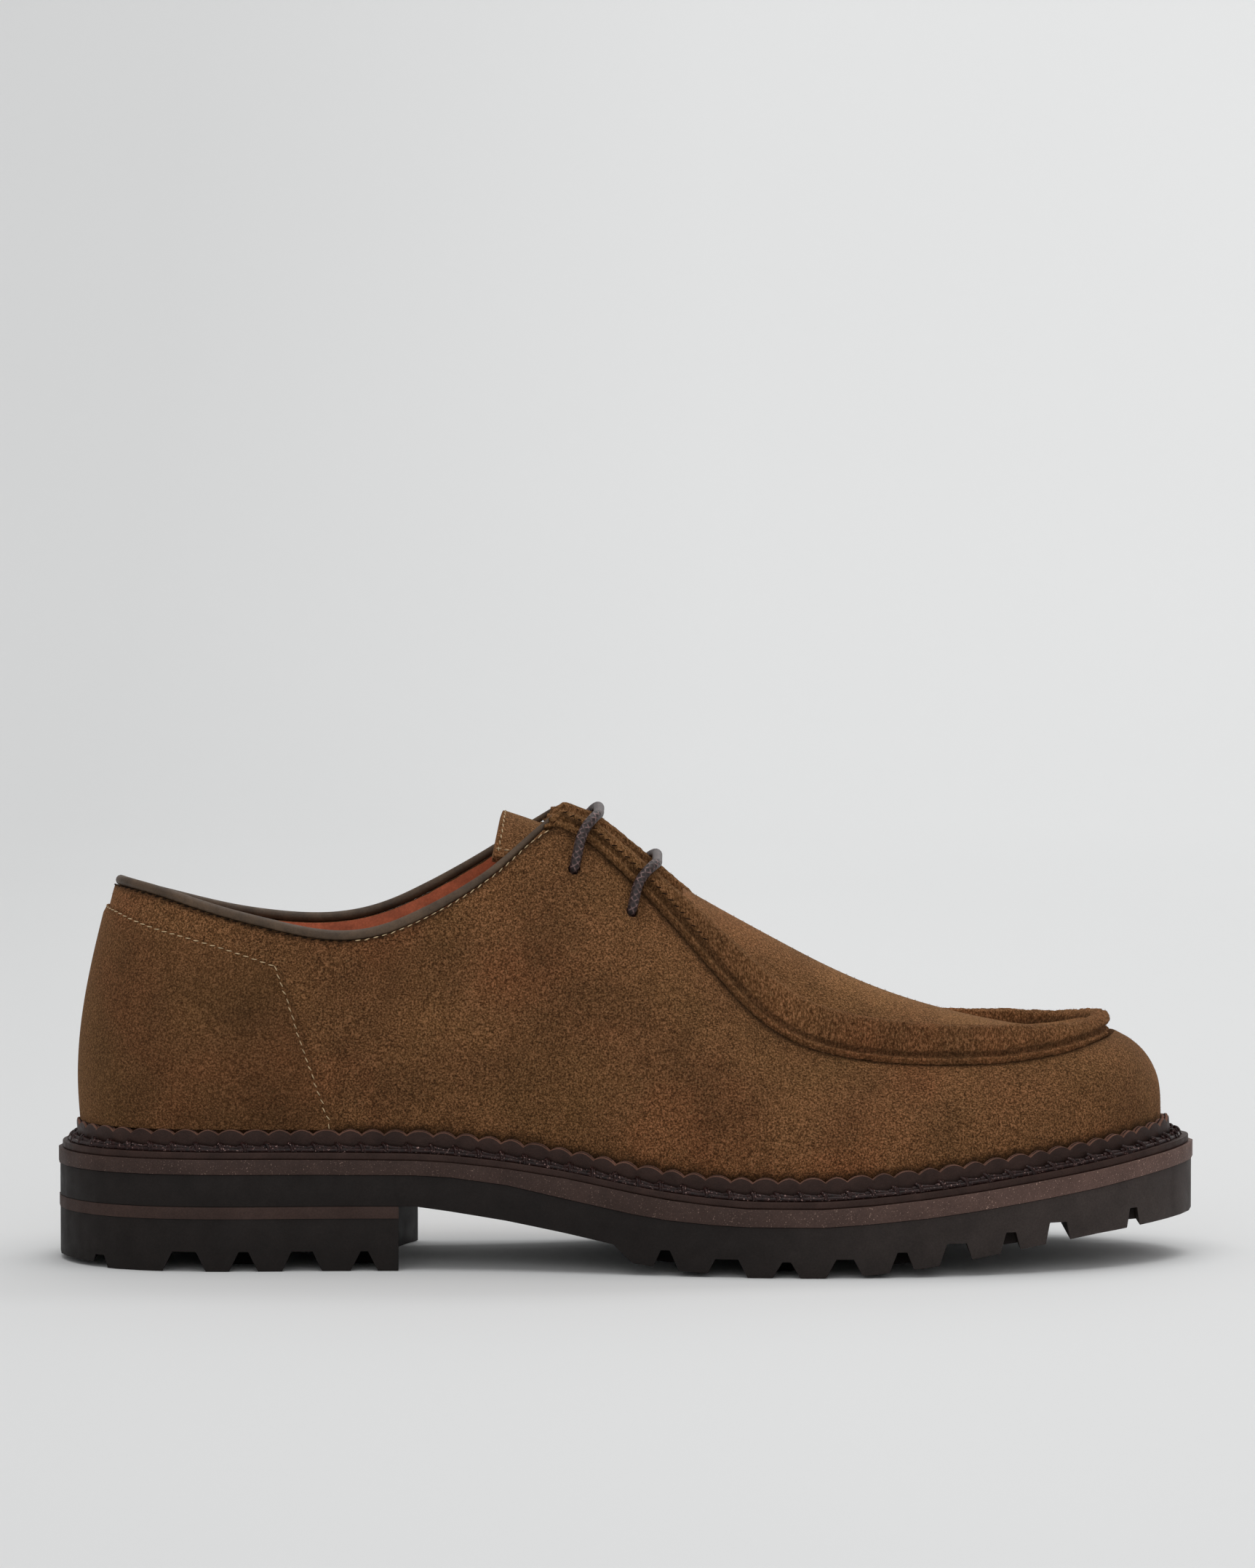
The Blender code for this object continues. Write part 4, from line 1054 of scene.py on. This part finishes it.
class SHOE_OT_binding(bpy.types.Operator):
    """Pipe the collar with leather, and stitch below the piping and round the lining"""

    bl_idname = "shoe.binding"
    bl_label = "Collar piping"

    def execute(self, context):
        wanted = sizes()
        found = measured("collar_binding", lambda guide: (chains_of(guide), centre_line(guide)))
        edges = sorted((c for c in found[0] if c.length > 200 * MM), key=lambda c: c.middle[2])[:4]
        outer = max(edges, key=lambda chain: chain.length)
        inner = min(edges, key=lambda chain: chain.length)
        middles = found[1]
        ends = []
        for end, before in ((middles[0], middles[1]), (middles[-1], middles[-2])):
            ends.append(end + (end - before) / np.linalg.norm(end - before) * wanted.piping_end)
        route = Seam(rounded([ends[0], *middles, ends[1]], False, levels=2))
        stations = np.linspace(0, route.length, 150)
        from_end = np.minimum(stations, route.length - stations)
        shares = np.interp(from_end, (0, 8 * MM, 45 * MM), (0.5, 0.68, 1.0))
        places = []
        for along, share in zip(stations, shares):
            sunk = 0.3 * MM + (1 - share) * wanted.piping
            places.append(route.place(along) - Vector((0, 0, sunk)))
        piece = strand(places, wanted.piping, 4, shares)
        piece.name = "collar_piping"
        tone = colours().piping
        leather = leather_finish("piping_leather", tone, rough=0.52, grain=0.5, variation=0.4, coat=0.03)
        finished(piece, "collar_binding", slot="collar_binding", materials=[leather], smooth=math.pi)
        shell = bpy.data.objects["upper_suede"]
        pale, dark = bpy.data.materials["pale_thread"], bpy.data.materials["dark_thread"]
        front = -72 * MM
        seam = shifted(outer, shell, downwards(wanted.collar_seam))
        stitched(seam, shell, "collar_stitches_front", pale, keep=lambda place: place.x > front)
        stitched(seam, shell, "collar_stitches_back", dark, keep=lambda place: place.x <= front)
        # Painted shade on the shell along the collar stitches
        mark_hollows(shell, seam.points, 0.9)
        seam = shifted(inner, shell, downwards(wanted.lining_seam), INNER_SKIN)
        stitched(seam, shell, "lining_stitches", dark, lift=INNER_SKIN)
        return {"FINISHED"}


class SHOE_OT_tongue(bpy.types.Operator):
    """Smooth the tongue and stitch its back and side edges"""

    bl_idname = "shoe.tongue"
    bl_label = "Tongue"

    def execute(self, context):
        piece = copy_of("tongue", "tongue_suede")
        chains = chains_of(piece)
        rear = [c for c in chains if c.middle[0] < -30 * MM and c.middle[2] > 110 * MM]
        back = max(rear, key=lambda c: c.middle[2])
        sides = sorted((c for c in chains if 60 * MM < c.length < 68 * MM), key=lambda c: -c.middle[2])[:2]
        softened(piece, 0.5, 2)
        # lift 1.05 is a little painted light on the tongue
        finished(piece, "tongue", slot="upper", materials=[suede_finish("tongue_suede", lift=1.05)])
        thread = bpy.data.materials["pale_thread"]
        centre = Vector((-5 * MM, 0, 105 * MM))
        for name, chain in (("back", back), ("left", sides[0]), ("right", sides[1])):
            seam = shifted(chain, piece, towards(centre, sizes().tongue_seam))
            stitched(seam, piece, f"tongue_stitches_{name}", thread)
        return {"FINISHED"}


class SHOE_OT_laces(bpy.types.Operator):
    """Weave the laces that run through the holes and over the seam"""

    bl_idname = "shoe.laces"
    bl_label = "Laces"

    def execute(self, context):
        wanted = sizes()
        for node in ("lace_upper", "lace_lower"):
            route = Seam(rounded(measured(node, centre_line), False, levels=2))
            points = [route.place(along) for along in np.linspace(0, route.length, 64)]
            lace = strand(points, wanted.lace, sides=6)
            lace.name = node + "_woven"
            material = woven_finish(node + "_cord", colours().lace, route.length / wanted.lace_twist)
            finished(lace, node, slot="lace", materials=[material], smooth=math.pi)
        return {"FINISHED"}


class SHOE_OT_stage(bpy.types.Operator):
    """Lay the studio paper, hang its soft lights and set the camera"""

    bl_idname = "shoe.stage"
    bl_label = "Stage"

    def execute(self, context):
        rear, height, bend = 3, 5, 1.6
        bpy.ops.mesh.primitive_plane_add(size=7, location=(0, 0, 0))
        paper = context.active_object
        paper.name = "studio_paper"
        bpy.ops.object.mode_set(mode="EDIT")
        bpy.ops.mesh.select_mode(type="EDGE")

        def select_rear_edge():
            """Select the paper's rear edge on the floor."""
            bpy.ops.mesh.select_all(action="DESELECT")
            shape = bmesh.from_edit_mesh(paper.data)
            for edge in shape.edges:
                edge.select = all(point.co.y > rear and point.co.z < 1 for point in edge.verts)
            bmesh.update_edit_mesh(paper.data)

        select_rear_edge()
        bpy.ops.mesh.extrude_region_move(TRANSFORM_OT_translate={"value": (0, 0, height)})
        select_rear_edge()
        bpy.ops.mesh.bevel(offset=bend, segments=24, affect="EDGES")
        bpy.ops.object.mode_set(mode="OBJECT")
        bpy.ops.object.shade_smooth()
        paper.data.transform(Matrix.Translation((0, 0, -0.1 * MM)))
        made = Finish("studio_paper")
        base = made.clouded(rgba(colours().backdrop), 700, 0.985, 1.0, detail=2)
        # Painted shade: the paper darkens towards the left
        base = made.times(base, made.along_shoe(-320, 60, 0.92, 1.0))
        paper.data.materials.append(made.done(base=base, rough=0.95, specular=0.1))
        for name, power, width, length, place, target in (
            ("overhead_softbox", 14, 1.9, 1.3, (0.1, -0.2, 1.9), (0, 0, 0.05)),
            ("front_fill", 9, 2.4, 1.4, (-0.1, -2.3, 1.0), (0.05, 0, 0.05)),
            ("back_wash", 42, 3.2, 1.6, (1.1, 2.0, 2.9), (0.8, 3.4, 0.5)),
        ):
            lamp = bpy.data.lights.new(name, "AREA")
            lamp.shape = "RECTANGLE"
            lamp.size, lamp.size_y = width, length
            lamp.energy = power
            light = linked(name, lamp)
            light.location = place
            light.rotation_mode = "QUATERNION"
            light.rotation_quaternion = (Vector(target) - Vector(place)).to_track_quat("-Z", "Y")
        world = bpy.data.worlds.new("studio")
        world.use_nodes = True
        sky = world.node_tree.nodes["Background"].inputs
        sky["Color"].default_value = (0.99, 0.99, 1.0, 1)
        sky["Strength"].default_value = 0.47
        context.scene.world = world
        context.scene.view_settings.view_transform = "Standard"
        camera = bpy.data.cameras.new("camera")
        camera.sensor_width = 36
        camera.lens = 152.4
        eye = linked("camera", camera)
        eye.location = (0.00015, -1.8011, 0.2215)
        eye.rotation_euler = (math.radians(90 - 2.96), 0, 0)
        context.scene.camera = eye
        return {"FINISHED"}


class SHOE_PT_panel(bpy.types.Panel):
    """Lists the operators that build the shoe, and its sizes and colours"""

    bl_idname = "SHOE_PT_panel"
    bl_label = "Derby shoe"
    bl_space_type = "VIEW_3D"
    bl_region_type = "UI"
    bl_category = "Shoe"

    def draw(self, context):
        for operator in STEPS:
            self.layout.operator(operator.bl_idname)
        for group in (context.scene.shoe_sizes, context.scene.shoe_colours):
            column = self.layout.column()
            for name in group.__annotations__:
                column.prop(group, name)


STEPS = (
    SHOE_OT_sole,
    SHOE_OT_welt,
    SHOE_OT_braid,
    SHOE_OT_insole,
    SHOE_OT_upper,
    SHOE_OT_counter,
    SHOE_OT_apron,
    SHOE_OT_rim,
    SHOE_OT_binding,
    SHOE_OT_tongue,
    SHOE_OT_laces,
    SHOE_OT_stage,
)
CLASSES = (ShoeSizes, ShoeColours, *STEPS, SHOE_PT_panel)


def register():
    for item in CLASSES:
        bpy.utils.register_class(item)
    bpy.types.Scene.shoe_sizes = PointerProperty(type=ShoeSizes)
    bpy.types.Scene.shoe_colours = PointerProperty(type=ShoeColours)


def unregister():
    del bpy.types.Scene.shoe_colours
    del bpy.types.Scene.shoe_sizes
    for item in reversed(CLASSES):
        bpy.utils.unregister_class(item)


def main():
    register()
    bpy.ops.shoe.sole()
    bpy.ops.shoe.welt()
    bpy.ops.shoe.braid()
    bpy.ops.shoe.insole()
    bpy.ops.shoe.upper()
    bpy.ops.shoe.counter()
    bpy.ops.shoe.apron()
    bpy.ops.shoe.rim()
    bpy.ops.shoe.binding()
    bpy.ops.shoe.tongue()
    bpy.ops.shoe.laces()
    bpy.ops.shoe.stage()


if __name__ == "__main__":
    main()
